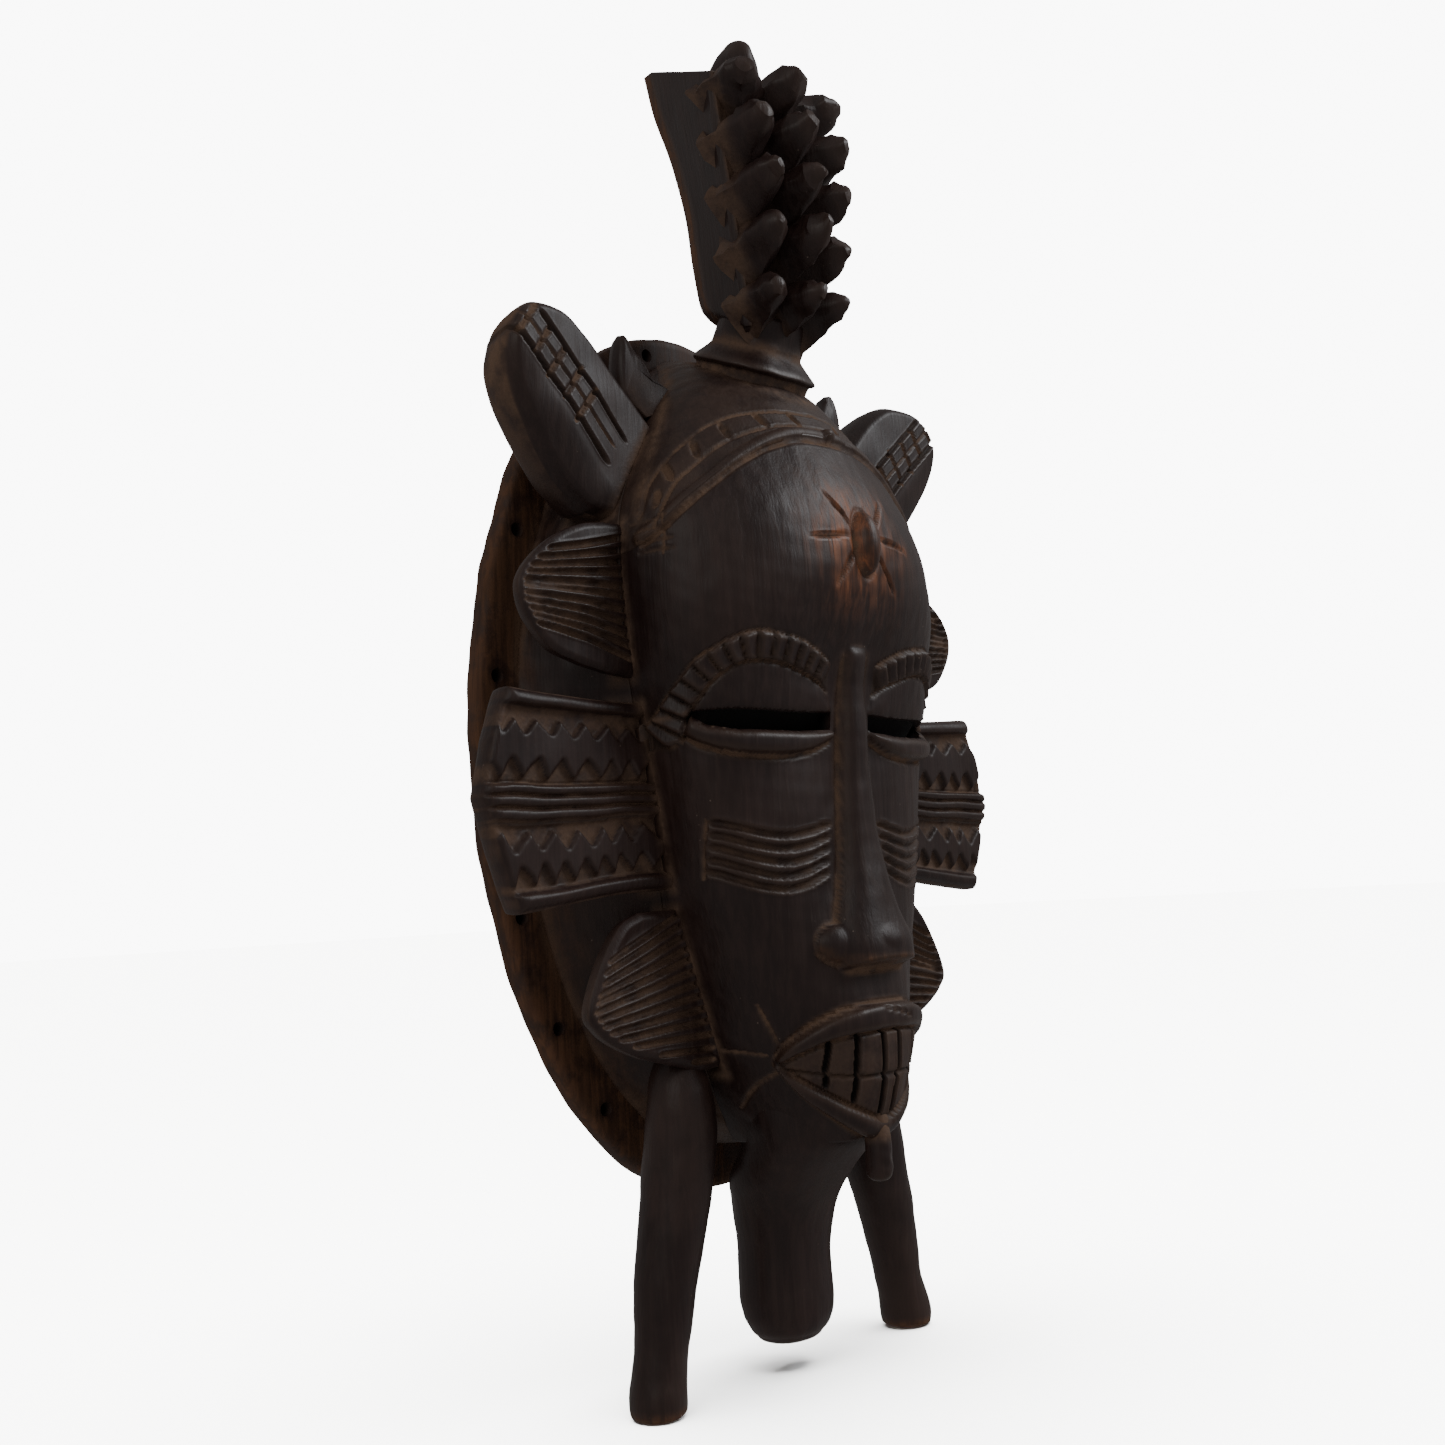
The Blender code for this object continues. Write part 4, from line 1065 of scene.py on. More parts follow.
def head_shell(name, carving, parts, seed):
    """Solid of a carved part of the head, with a coarser gouged inside."""
    outer, layers = carving.finish()
    inner = gouged(head_grid(*(part[::4] for part in parts), inside=True), seed)
    return shell(name, outer, inner, layers, 4, inner_layers=INSIDE_WOOD)


def carve_face():
    """The whole face from under the headband to the chin."""
    size = cell()
    cols, rows = fours(126.0, size), fours(142.0, size)
    fractions = even_fractions(cols)
    tops = band_z(fractions) + 0.9
    bottoms = np.full_like(fractions, CHIN_Z)
    spots = np.linspace(0.0, 1.0, rows + 1)
    parts = (fractions, tops, bottoms, spots)
    carving = Carving(head_grid(*parts), 5)
    knife_facets(carving, 40)
    headband_marks(carving)
    forehead_marks(carving)
    eye_marks(carving)
    cheek_marks(carving)
    nose_marks(carving)
    mouth_marks(carving)
    seat_dust(carving)
    face = head_shell("carved_face", carving, parts, 60)
    cut_out(face, [eye_cutter(side) for side, _ in SIDES])
    # Painted shade: the walls of each eye slit are painted near black, as the inside of a slit lies in shade.
    p = coordinates(face)
    deep = p[:, 1] - front_y(p[:, 0], p[:, 2])
    x, z = np.abs(p[:, 0]), p[:, 2] + 1.25 * np.clip(deep - 2.6, 0.0, None)
    slot = (x > 6.8) & (x < 43.4) & (z > -116.1) & (z < -110.3) & (deep > 0.4) & (deep < 9.0)
    soot = np.zeros(len(p), dtype=np.float32)
    face.data.attributes["soot"].data.foreach_get("value", soot)
    face.data.attributes["soot"].data.foreach_set("value", np.maximum(soot, slot.astype(np.float32)))
    return face


def carve_crown():
    """Crown of the head with the decorated headband along its front edge."""
    size = cell()
    cols = fours(120.0, size)
    rows = fours(72.0, size)
    fractions = even_fractions(cols, -60.0)
    bottoms = band_z(fractions)
    tops = np.full_like(fractions, CROWN_TOP_Z)
    z = np.linspace(CROWN_TOP_Z, BAND_Z, 400)
    run = np.concatenate([[0.0], np.cumsum(np.hypot(np.diff(z), np.diff(curve(FRONT_Y, z))))])
    spots = np.interp(np.linspace(0.0, run[-1], rows + 1), run, (z - z[0]) / (z[-1] - z[0]))
    parts = (fractions, tops, bottoms, spots)
    carving = Carving(head_grid(*parts), 6)
    knife_facets(carving, 44)
    headband_marks(carving)
    seat_dust(carving, 3.0)
    neck = np.linspace(0.0, math.tau, 40)
    ring = np.stack([14.0 * np.sin(neck), -31.5 + 15.5 * np.cos(neck)], axis=1)
    under = np.array([(x, y, crown_z(x, y)) for x, y in ring])
    carving.stain(under, 4.0, 0.6)
    f = np.linspace(0.0, 1.0, 30)
    for side, _ in SIDES:
        z = -17.0 - 47.0 * f
        w = section(z)[0]
        crease = np.stack([side * 0.985 * w, front_y(0.985 * w, z), z], axis=1)
        carving.stain(crease, 3.0, 0.55)
    # The crown is made paler towards its top. The dust colour laid over the whole crown below is painted
    # light: it lightens the crown as if lit from above.
    carving.bare += 0.18 * ramp(carving.base[..., 2], -22.0, -9.0)
    carving.dust += 0.12
    return head_shell("carved_crown", carving, parts, 61)


def crown_z(x, y):
    """Height of the crown under the point (x, y)."""
    low, high = -45.0, -8.0
    for _ in range(40):
        mid = 0.5 * (low + high)
        if abs(x) >= float(section(mid)[0]) or float(front_y(x, mid)) > y:
            high = mid
        else:
            low = mid
    return 0.5 * (low + high)


def bowl_rows(count):
    """Front-edge and foot points, outside and inside, down the right wall and round the chin."""
    walls = int(count * 0.82)
    z = WALL_TOP_Z + (CORNER_Z - WALL_TOP_Z) * np.linspace(0.0, 1.0, walls + 1)
    w, edge = section(z)[:2]
    turn = np.arcsin(np.clip((-RIM_HALF_HEIGHT - z) / BOWL_HALF_HEIGHT, -1.0, 1.0))
    inner_w = np.maximum(w - WALL, 0.5 * w)
    outer = np.stack([w, edge, z], axis=1)
    inner = np.stack([inner_w, edge, z], axis=1)
    a = 0.5 * math.pi * np.linspace(0.0, 1.0, count - walls + 1)[1:]
    drop = CHIN_Z - CORNER_Z
    w, edge = section(CORNER_Z)[:2]
    flat = np.full_like(a, float(edge))
    round_outer = np.stack([w * np.cos(a), flat, CORNER_Z + drop * np.sin(a)], axis=1)
    round_inner = np.stack([(w - WALL) * np.cos(a), flat, CORNER_Z + (drop + WALL) * np.sin(a)], axis=1)
    more = turn[-1] + (0.5 * math.pi - turn[-1]) * a / (0.5 * math.pi)
    return [np.concatenate(pair) for pair in ((outer, round_outer), (inner, round_inner), (turn, more))]


def carve_bowl():
    """Side walls from the face back to the flange, joined under the chin."""
    size = cell() * 1.6
    count, spans = fours(230.0, size), fours(36.0, size)
    outer, inner, turn = bowl_rows(count)
    foot, heel = (np.stack([(BOWL_HALF_WIDTH - wall) * np.cos(turn), np.full_like(turn, BOWL_FOOT_Y + lift),
                            -RIM_HALF_HEIGHT - (BOWL_HALF_HEIGHT - wall) * np.sin(turn)], axis=1)
                  for wall, lift in ((0.0, 0.0), (WALL, 3.0)))
    t = np.linspace(0.0, 1.0, spans + 1)[None, :, None]
    grids = []
    for near, far in ((outer, foot), (inner, heel)):
        half = near[:, None, :] * (1.0 - t) + far[:, None, :] * t
        other = half[:-1][::-1] * np.array([-1.0, 1.0, 1.0])
        grids.append(np.concatenate([half, other]))
    carving = Carving(grids[0], 8)
    knife_facets(carving, 70, 0.22)
    seat_dust(carving, 3.0)
    depth = carving.base[..., 1]
    carving.dust += 0.40 * ramp(depth, -7.5, -5.0)
    carving.bare += 0.22 * ramp(depth, -16.0, -5.0)
    carving.dust += 0.35 * ramp(-carving.base[..., 2], 196.0, 206.0)
    points, layers = carving.finish()
    return shell("carved_bowl", points, gouged(grids[1], 62, 0.2), layers, inner_layers=INSIDE_WOOD)


# ---------------------------------------------------------------- flange

def carve_flange(material):
    """Flat oval flange; the tie holes are cut into its front by a tree that sets a tapered peg at every mark,
    and stop part way through.
    """
    steps = 288
    inner = -RIM_BAND - WALL
    profile = ((0.0, 0.0), (0.0, -1.2), (-0.10, -2.2), (-0.35, -3.2), (-0.9, -4.0), (-1.8, -4.4),
               (-3.2, -4.5), (-6.0, -4.5), (-9.0, -4.5), (-11.0, -4.5), (-13.0, -4.5), (inner + 0.4, -4.3),
               (inner, -3.6), (inner, -0.8), (inner + 0.6, 0.0), (-9.0, 0.0), (-4.0, 0.0))
    inset, depth = np.array(profile).T
    a = ring_angles(steps)[:, None]
    points = np.stack([(RIM_HALF_WIDTH + inset) * np.sin(a), depth + 0.0 * a,
                       -RIM_HALF_HEIGHT + (RIM_HALF_HEIGHT + inset) * np.cos(a)], axis=-1)
    worn = 0.28 * ripple(points, 26.0, 21) + 0.12 * ripple(points, 8.0, 22)
    outer = np.clip((inset + 4.0) / 4.0, 0.0, 1.0)
    reach = np.stack([np.sin(a) + 0 * inset, 0 * a + 0 * inset, np.cos(a) + 0 * inset], axis=-1)
    points = points + reach * (worn * outer - 0.25 * outer)[..., None]
    points[..., 1] += 0.10 * ripple(points, 11.0, 23) * (depth < -3.5)
    count = len(profile)
    index = np.arange(steps * count).reshape(steps, count)
    nxt, side = np.roll(index, -1, axis=0), np.roll(index, -1, axis=1)
    both = np.roll(nxt, -1, axis=1)
    faces = np.stack([index, side, both, nxt], axis=-1).reshape(-1, 4).tolist()
    flange = mesh_object("pierced_flange", points.reshape(-1, 3), faces)

    marks = []
    for degrees in TIE_HOLE_ANGLES:
        for side_sign, _ in SIDES:
            t = math.radians(side_sign * degrees)
            marks.append(((RIM_HALF_WIDTH - TIE_HOLE_INSET) * math.sin(t), -0.5 * RIM_THICKNESS - 0.05,
                          -RIM_HALF_HEIGHT + (RIM_HALF_HEIGHT - TIE_HOLE_INSET) * math.cos(t)))
    marker = points_object("tie_hole_marks", marks, {})
    rule = Rule("pierced flange", (("Holes", "NodeSocketObject"), ("Front radius", "NodeSocketFloat"),
                                   ("Back radius", "NodeSocketFloat"), ("Hole depth", "NodeSocketFloat")))
    given = rule.source.outputs
    peg = rule.node("GeometryNodeMeshCone", {},
                    {"Vertices": 22, "Radius Top": given["Front radius"],
                     "Radius Bottom": given["Back radius"], "Depth": given["Hole depth"]})
    holes = rule.node("GeometryNodeObjectInfo", {}, {"Object": given["Holes"]})
    turn = rule.node("FunctionNodeEulerToRotation", {}, {"Euler": (math.radians(90.0), 0.0, 0.0)})
    pegs = rule.node("GeometryNodeInstanceOnPoints", {},
                     {"Points": holes.outputs["Geometry"], "Instance": peg.outputs["Mesh"],
                      "Rotation": turn.outputs[0]})
    real = rule.node("GeometryNodeRealizeInstances", {}, {"Geometry": pegs.outputs[0]})
    cut = rule.node("GeometryNodeMeshBoolean", {"operation": "DIFFERENCE", "solver": "EXACT"},
                    {"Mesh 1": given["Geometry"], "Mesh 2": real.outputs[0]})
    rule.close(cut.outputs["Mesh"], material)
    wide = carving_settings().tie_hole
    rule.apply(flange, {"Holes": marker, "Front radius": 1.05 * wide, "Back radius": 0.42 * wide,
                        "Hole depth": TIE_PEG_LENGTH})
    bpy.data.objects.remove(marker, do_unlink=True)

    p = coordinates(flange)
    gap = np.min([np.hypot(p[:, 0] - m[0], p[:, 2] - m[2]) for m in marks], axis=0)
    out = np.hypot(p[:, 0] / RIM_HALF_WIDTH, (p[:, 2] + RIM_HALF_HEIGHT) / RIM_HALF_HEIGHT)
    front = p[:, 1] < -3.0
    hole = gap < 1.04 * wide / MM
    high = ramp(p[:, 2], -34.0, -12.0)
    # Painted shade: inside each tie hole and on a round spot on the back behind it the wood is painted near
    # black and given less bare wood; the holes stop part way, so the spots stand in for dark openings.
    store(flange, {"bare": (0.50 + 0.25 * front - 0.5 * hole) * (1.0 - 0.8 * high * front),
                   "wear": 0.8 * (out > 0.975), "soot": 0.9 * hole * (p[:, 1] > -4.0),
                   "dust": 0.6 * front * ramp(-out, -0.885, -0.84)})
    flange.data.set_sharp_from_angle(angle=math.radians(38.0))
    return flange


# ---------------------------------------------------------------- side plates

ROOT_DEPTH = 2.2
REACH_START = 56.0
SHORT_PADDLE = 0.78


def rim_rings(points, back_points, bulge, count=5):
    """Rings that round the edge between a front border and a back border."""
    loop, far = border_values(points), border_values(back_points)
    plan = loop[:, [0, 2]]
    tangent = np.roll(plan, -1, axis=0) - np.roll(plan, 1, axis=0)
    tangent /= np.maximum(np.linalg.norm(tangent, axis=1, keepdims=True), 1e-9)
    normal = np.stack([tangent[:, 1], -tangent[:, 0]], axis=1)
    if float(np.sum(normal * (plan - plan.mean(0)))) < 0.0:
        normal = -normal
    for _ in range(3):
        normal = (np.roll(normal, 1, axis=0) + normal + np.roll(normal, -1, axis=0)) / 3.0
    rings = []
    for t in np.linspace(0.0, 1.0, count + 2)[1:-1]:
        ring = loop * (1.0 - t) + far * t
        push = bulge * math.sin(math.pi * t)
        ring[:, 0] += normal[:, 0] * push
        ring[:, 2] += normal[:, 1] * push
        ease = 0.5 - 0.5 * math.cos(math.pi * t)
        ring[:, 1] = loop[:, 1] * (1.0 - ease) + far[:, 1] * ease
        rings.append(ring)
    return rings


def side_plate(name, side, plan, front, back, carve, seed, bulge, tuck, edge=1.6, belly=0.0):
    """A carved plate: plan is a grid of (x, z) from the head outwards."""
    base = np.stack([plan[..., 0], np.full(plan.shape[:2], front), plan[..., 1]], axis=-1)
    carving = Carving(base, seed, flat=True)
    _, gap, _, _ = carving.near(closed(border_values(base)), 60.0)
    gap = gap.reshape(base.shape[:2])
    carve(carving, gap)
    carving.height -= 0.8 * (1.0 - np.clip(gap / edge, 0.0, 1.0)) ** 2
    carving.height += 0.12 * ripple(base, 12.0, seed + 3)
    points, layers = carving.finish()
    mid = plan.reshape(-1, 2).mean(0)
    small = mid + (plan - mid) * (1.0 - tuck / 20.0)
    depth = back + belly * np.clip(gap / 8.0, 0.0, 1.0) + 0.15 * ripple(base, 10.0, seed + 4)
    rear = np.stack([small[..., 0], depth, small[..., 1]], axis=-1)
    rings = rim_rings(points, rear, bulge)
    flip = np.array([side, 1.0, 1.0])
    return shell(name, points * flip, rear * flip, layers, 1, [ring * flip for ring in rings], REAR_WOOD)


def leaf_plan(outline, top, bottom, front, size, reach=1.0):
    """Grid of (x, z) between the head and a rounded outline; reach shortens its outer part."""
    edge = rounded(outline, 8)
    outer = REACH_START + (edge[:, 0] - REACH_START) * reach
    edge[:, 0] = np.where(edge[:, 0] > REACH_START, outer, edge[:, 0])
    run = run_along(edge)
    rows = fours(run[-1] * 0.85, size)
    at = np.linspace(0.0, run[-1], rows + 1)
    far = np.stack([np.interp(at, run, edge[:, k]) for k in (0, 1)], axis=1)
    z = np.linspace(top, bottom, rows + 1)
    near = np.stack([skin_x(np.full_like(z, front), z) - ROOT_DEPTH, z], axis=1)
    cols = fours(float(np.max(far[:, 0] - near[:, 0])), size)
    t = np.linspace(0.0, 1.0, cols + 1)[None, :, None]
    return near[:, None, :] * (1.0 - t) + far[:, None, :] * t


def leaf_groove(carving, edge, area, points, margin, width, depth, dust):
    """Cuts the part of a line that keeps clear of the leaf's edge."""
    x, z = points[:, 0], points[:, 2]
    clear = np.min(np.hypot(x[:, None] - edge[None, :, 0], z[:, None] - edge[None, :, 1]), axis=1)
    inside = inside_outline(area, x, z) & (clear > margin)
    if inside.sum() > 3:
        carving.groove(points[inside], width, depth, dust, 1.4, 0.75, 0.12)


def carve_upper_leaf(side, word):
    """Rounded leaf with a fan of grooves inside a narrow border."""
    plan = leaf_plan(UPPER_LEAF, -64.5, -101.5, -32.2, 0.8 * cell())
    count = carving_settings().leaf_lines
    edge = rounded(UPPER_LEAF, 8)
    area = np.concatenate([edge, np.array([(44.0, -101.0), (44.0, -64.5)])])

    def carve(carving, gap):
        for k in range(count):
            root = -67.6 - 2.98 * k + 0.2 * carving.rng.normal()
            tip = -82.5 + (root + 82.5) * 0.52
            path = carving.level(((48.0, root), (62.0, 0.45 * root + 0.55 * tip + 0.3), (79.0, tip)))
            leaf_groove(carving, edge, area, dense(path, 1.0), 1.1, 1.7, 1.3, 0.62)
        carving.height += 0.5 * np.clip(gap / 9.0, 0.0, 1.0)
    return side_plate("upper_leaf_carved_" + word, side, plan, -31.8, -27.6, carve, 100 + side,
                      bulge=0.5, tuck=1.2)


def carve_lower_leaf(side, word):
    """Drooping leaf with slanting grooves inside a smooth border."""
    plan = leaf_plan(LOWER_LEAF, -156.0, -193.6, -32.6, 0.8 * cell())
    count = carving_settings().leaf_lines + 2
    edge = rounded(LOWER_LEAF, 8)
    area = np.concatenate([edge, np.array([(24.0, -196.0), (36.0, -156.0)])])

    def carve(carving, gap):
        for k in range(count):
            root = -157.6 - 2.85 * k + 0.2 * carving.rng.normal()
            slope = 0.44 * max(1.0 - k / 10.5, 0.0)
            x = np.linspace(28.0, 68.0, 60)
            path = carving.level(np.stack([x, root - slope * (x - 38.0)], axis=1))
            leaf_groove(carving, edge, area, path, 1.5, 1.6, 1.25, 0.68)
        carving.height += 0.5 * np.clip(1.0 - np.abs(gap - 1.8) / 1.8, 0.0, 1.0)
    return side_plate("lower_leaf_carved_" + word, side, plan, -32.0, -27.6, carve, 110 + side,
                      bulge=0.5, tuck=1.2)


def carve_wing(side, word):
    """Broad plate: rails, toothed recesses and three ribs across the middle."""
    size = 0.66 * cell()
    rows, cols = fours(50.0, size), fours(46.0, size)
    v = np.linspace(0.0, 1.0, rows + 1)[:, None]
    u = np.linspace(0.0, 1.0, cols + 1)[None, :]
    z_mid = -106.5 - 47.0 * v[:, 0]
    near = skin_x(np.full_like(z_mid, -32.6), z_mid) - ROOT_DEPTH
    far = np.interp(v[:, 0], [0.0, 0.23, 0.49, 0.75, 1.0], [x for _, x in WING_OUTER])
    x = near[:, None] * (1.0 - u) + far[:, None] * u
    z = curve(WING_TOP, x) * (1.0 - v) + curve(WING_BOTTOM, x) * v
    plan = np.stack([x, z], axis=-1)

    def carve(carving, gap):
        level = v + 0.004 * ripple(carving.base, 14.0, 120 + side)
        along = (carving.base[..., 0] - 46.0) / 6.9 + 0.12 * ripple(carving.base, 16.0, 130 + side)
        saw = np.abs(2.0 * (along % 1.0) - 1.0)
        small = np.abs(2.0 * ((along * 1.15 + 0.3) % 1.0) - 1.0)
        sunk = np.zeros_like(level)
        for top, bottom in ((0.075, 0.125 + 0.075 * saw), (0.310 + 0.100 * saw, 0.43),
                            (0.612, 0.650 + 0.100 * (1.0 - saw) - 0.012), (0.800 + 0.095 * small, 0.915)):
            sunk = np.where((level > top) & (level < bottom), 1.0, sunk)
        pit = blurred(sunk, 1) if cell() < 0.8 else sunk
        height = -1.7 * pit
        carving.dust = np.maximum(carving.dust, 0.55 * pit * (pit > 0.5))
        for centre in (0.455, 0.512, 0.570):
            t = np.clip(np.abs(level - centre) / 0.026, 0.0, 1.0)
            height += 0.9 * np.sqrt(1.0 - t**2)
        for centre in (0.427, 0.4835, 0.541, 0.598):
            t = np.clip(np.abs(level - centre) / 0.012, 0.0, 1.0)
            height -= 0.8 * (1.0 - t**2)
            carving.dust = np.maximum(carving.dust, 0.42 * (1.0 - t**2))
        for centre in (0.034, 0.960):
            t = np.clip(np.abs(level - centre) / 0.036, 0.0, 1.0)
            height += 1.1 * np.sqrt(1.0 - t**2)
        carving.height += height * (0.35 + 0.65 * np.clip(gap / 2.4, 0.0, 1.0))
        carving.stain(carving.level(np.stack([near + ROOT_DEPTH, z_mid], axis=1)), 3.0, 0.55)
    return side_plate("wing_carved_" + word, side, plan, -32.0, -25.2, carve, 120 + side,
                      bulge=0.7, tuck=0.5, edge=1.2)


def carve_paddle(side, word):
    """Tongue-shaped paddle with a ladder of cuts on its upper half."""
    reach = SHORT_PADDLE if side < 0 else 1.0
    plan = leaf_plan(PADDLE, -37.6, -62.8, -29.0, 0.8 * cell(), reach)
    tip = np.array([REACH_START + (79.5 - REACH_START) * reach, -18.0])
    root = np.array([49.0, -48.0])
    axis = (tip - root) / np.linalg.norm(tip - root)
    across = np.array([-axis[1], axis[0]])
    length = float(np.linalg.norm(tip - root))

    def carve(carving, gap):
        crossing = (carving.base[..., [0, 2]] - root) @ across
        carving.height += 2.2 * np.sqrt(np.clip(1.0 - ((crossing - 1.0) / 19.0) ** 2, 0.0, 1.0))
        carving.height -= 2.6 * np.clip((-crossing - 5.0) / 10.0, 0.0, 1.0) ** 1.6
        carving.height -= 2.0 * (1.0 - np.clip(gap / 2.6, 0.0, 1.0)) ** 2

        def line(q, start, stop):
            points = [root + axis * s + across * (q - 3.2 * max(s / length - 0.4, 0.0))
                      for s in np.linspace(start, stop, 14)]
            return carving.level(points)
        # The first and third lines are painted dark inside: painted shade.
        carving.groove(line(6.6, 1.0, length - 1.5), 1.5, 1.1, 0.30, 2.0, 0.8, soot=0.45)
        carving.groove(line(2.2, 2.0, length + 1.5), 1.0, 0.65, 0.55, 2.0, 0.8)
        carving.groove(line(-2.2, 0.0, length + 3.0), 1.7, 1.2, 0.30, 2.0, 0.8, soot=0.45)
        for k in range(5):
            s = length - 1.0 - 7.1 * k * (0.86 if side < 0 else 1.0)
            a = root + axis * (s + 1.2) + across * (7.2 - 2.0 * (s > 0.6 * length))
            b = root + axis * (s - 1.2) + across * (-3.4 if k % 2 else -4.0)
            carving.groove(carving.level((a, b)), 1.5, 1.0, 1.0, 1.2, 0.8)
        carving.stain(carving.level(plan[::4, 0] + np.array([2.4, 0.0])), 3.0, 0.6)
    return side_plate("paddle_carved_" + word, side, plan, -27.6, -14.5, carve, 140 + side,
                      bulge=1.6, tuck=3.0, edge=1.5, belly=-1.0)


def carve_horn(side, word):
    """Small curved fin that stands on the crown in front of the paddle."""
    tip = np.array([(41.8, -30.5), (42.2, -24.5), (41.8, -19.0), (40.4, -14.2), (38.6, -14.2), (36.6, -16.8),
                    (33.4, -20.2), (30.0, -24.5)])
    edge = rounded(tip, 5)
    middle = np.array([37.4, -25.5])
    foot = np.array([(26.5, -26.0), (29.0, -32.0), (34.5, -34.5)])
    rings = []
    for y, k, lean in ((-27.2, 0.72, 0.0), (-26.6, 0.88, 0.0), (-25.4, 0.97, 0.0), (-23.6, 1.0, 0.0),
                       (-21.6, 0.93, 0.2), (-20.6, 0.78, 0.4)):
        ring = np.concatenate([middle + (edge - middle) * k, foot])
        dent = 0.9 if y < -26.0 else 0.0
        rings.append([(side * (x - lean), y + dent * math.exp(-((x - 38.2) / 2.2) ** 2), z) for x, z in ring])
    horn = lofted("horn_carved_" + word, rings)
    p = coordinates(horn)
    wear = ramp(p[:, 2], -18.5, -14.5)
    store(horn, {"dust": 0.2 * ramp(-p[:, 2], 24.0, 31.0), "wear": 0.5 * wear})
    horn.data.set_sharp_from_angle(angle=math.radians(48.0))
    return horn


# ---------------------------------------------------------------- legs, post and peg

def carve_post():
    """Blunt smooth post that carries on down from the chin."""
    z = np.concatenate([np.linspace(-203.0, -254.0, 64), np.linspace(-254.0, -263.4, 26)[1:]])
    half_w, back, front = (curve([(p[0], p[c]) for p in POST_RINGS], z) for c in (1, 2, 3))
    t = ring_angles(96)
    middle, half_d = 0.5 * (back + front), 0.5 * (back - front)
    cx, sy = squared(np.cos(t), 0.92), squared(np.sin(t), 0.92)
    rings = np.stack([half_w[:, None] * cx, middle[:, None] + half_d[:, None] * sy, z[:, None] + 0 * t],
                     axis=-1)
    out = np.stack([cx, sy, 0 * t], axis=-1)[None]
    rings = rings + out * (0.12 * ripple(rings, 16.0, 31) + 0.05 * ripple(rings, 6.0, 32))[..., None]
    post = lofted("chin_post_carved", rings)
    p = coordinates(post)
    store(post, {"wear": 0.7 * ramp(-p[:, 2], 258.0, 263.0)})
    return post


def carve_peg():
    """Small round peg under the lower lip."""
    stations = ((-206.5, 2.6), (-212.0, 3.1), (-215.0, 3.2), (-218.5, 3.25), (-220.6, 3.1), (-221.8, 2.5),
                (-222.4, 1.6), (-222.6, 0.8))
    z = np.linspace(-206.5, -222.6, 50)
    r = curve(stations, z)
    t = ring_angles(40)
    rings = np.stack([r[:, None] * np.cos(t), -57.4 + r[:, None] * np.sin(t), z[:, None] + 0 * t], axis=-1)
    rings[..., 0] += 0.12 * ripple(rings, 4.0, 36)
    rings[..., 1] += 0.12 * ripple(rings, 4.0, 37)
    peg = lofted("tongue_peg_carved", rings)
    p = coordinates(peg)
    store(peg, {"dust": 0.6 * ramp(p[:, 2], -214.5, -211.5), "wear": 0.6 * ramp(-p[:, 2], 219.0, 222.0)})
    return peg


def carve_leg(side, word, material):
    """Round leg: a tree sweeps a circle along its line and fits its girth at every point."""
    z, x, y, r = through(LEG_STATIONS, 130)
    line = points_object("leg_carved_" + word, np.stack([side * x, y, z], axis=1),
                         {"girth": ("FLOAT", r)}, [(i, i + 1) for i in range(len(z) - 1)])
    rule = Rule("swept leg " + word, (("Thickness", "NodeSocketFloat"), ("Sides", "NodeSocketInt")))
    given = rule.source.outputs
    path = rule.node("GeometryNodeMeshToCurve", {}, {"Mesh": given["Geometry"]})
    ring = rule.node("GeometryNodeCurvePrimitiveCircle", {}, {"Resolution": given["Sides"], "Radius": MM})
    girth = rule.node("GeometryNodeInputNamedAttribute", {"data_type": "FLOAT"}, {"Name": "girth"})
    times = rule.node("ShaderNodeMath", {"operation": "MULTIPLY"},
                      {0: girth.outputs[0], 1: given["Thickness"]})
    tube = rule.node("GeometryNodeCurveToMesh", {},
                     {"Curve": path.outputs[0], "Profile Curve": ring.outputs[0],
                      "Scale": times.outputs[0], "Fill Caps": True})
    rule.close(tube.outputs[0], material)
    rule.apply(line, {"Thickness": 1.0, "Sides": 64})
    p = coordinates(line)
    normal = point_normals(line)
    away = 0.10 * ripple(p, 15.0, 33 + side) + 0.05 * ripple(p, 6.0, 35 + side)
    away *= ramp(p[:, 2], -269.6, -266.0)
    shift_points(line, normal * away[:, None])
    low = coordinates(line)[:, 2]
    store(line, {"bare": 0.75 * ramp(-low, 266.5, 269.3), "wear": 0.45 * ramp(-low, 250.0, 268.0)})
    return line


# ---------------------------------------------------------------- crest

SLOPE = np.array([0.0, -0.913, -0.408])
LIFT = np.array([0.0, -0.408, 0.913])


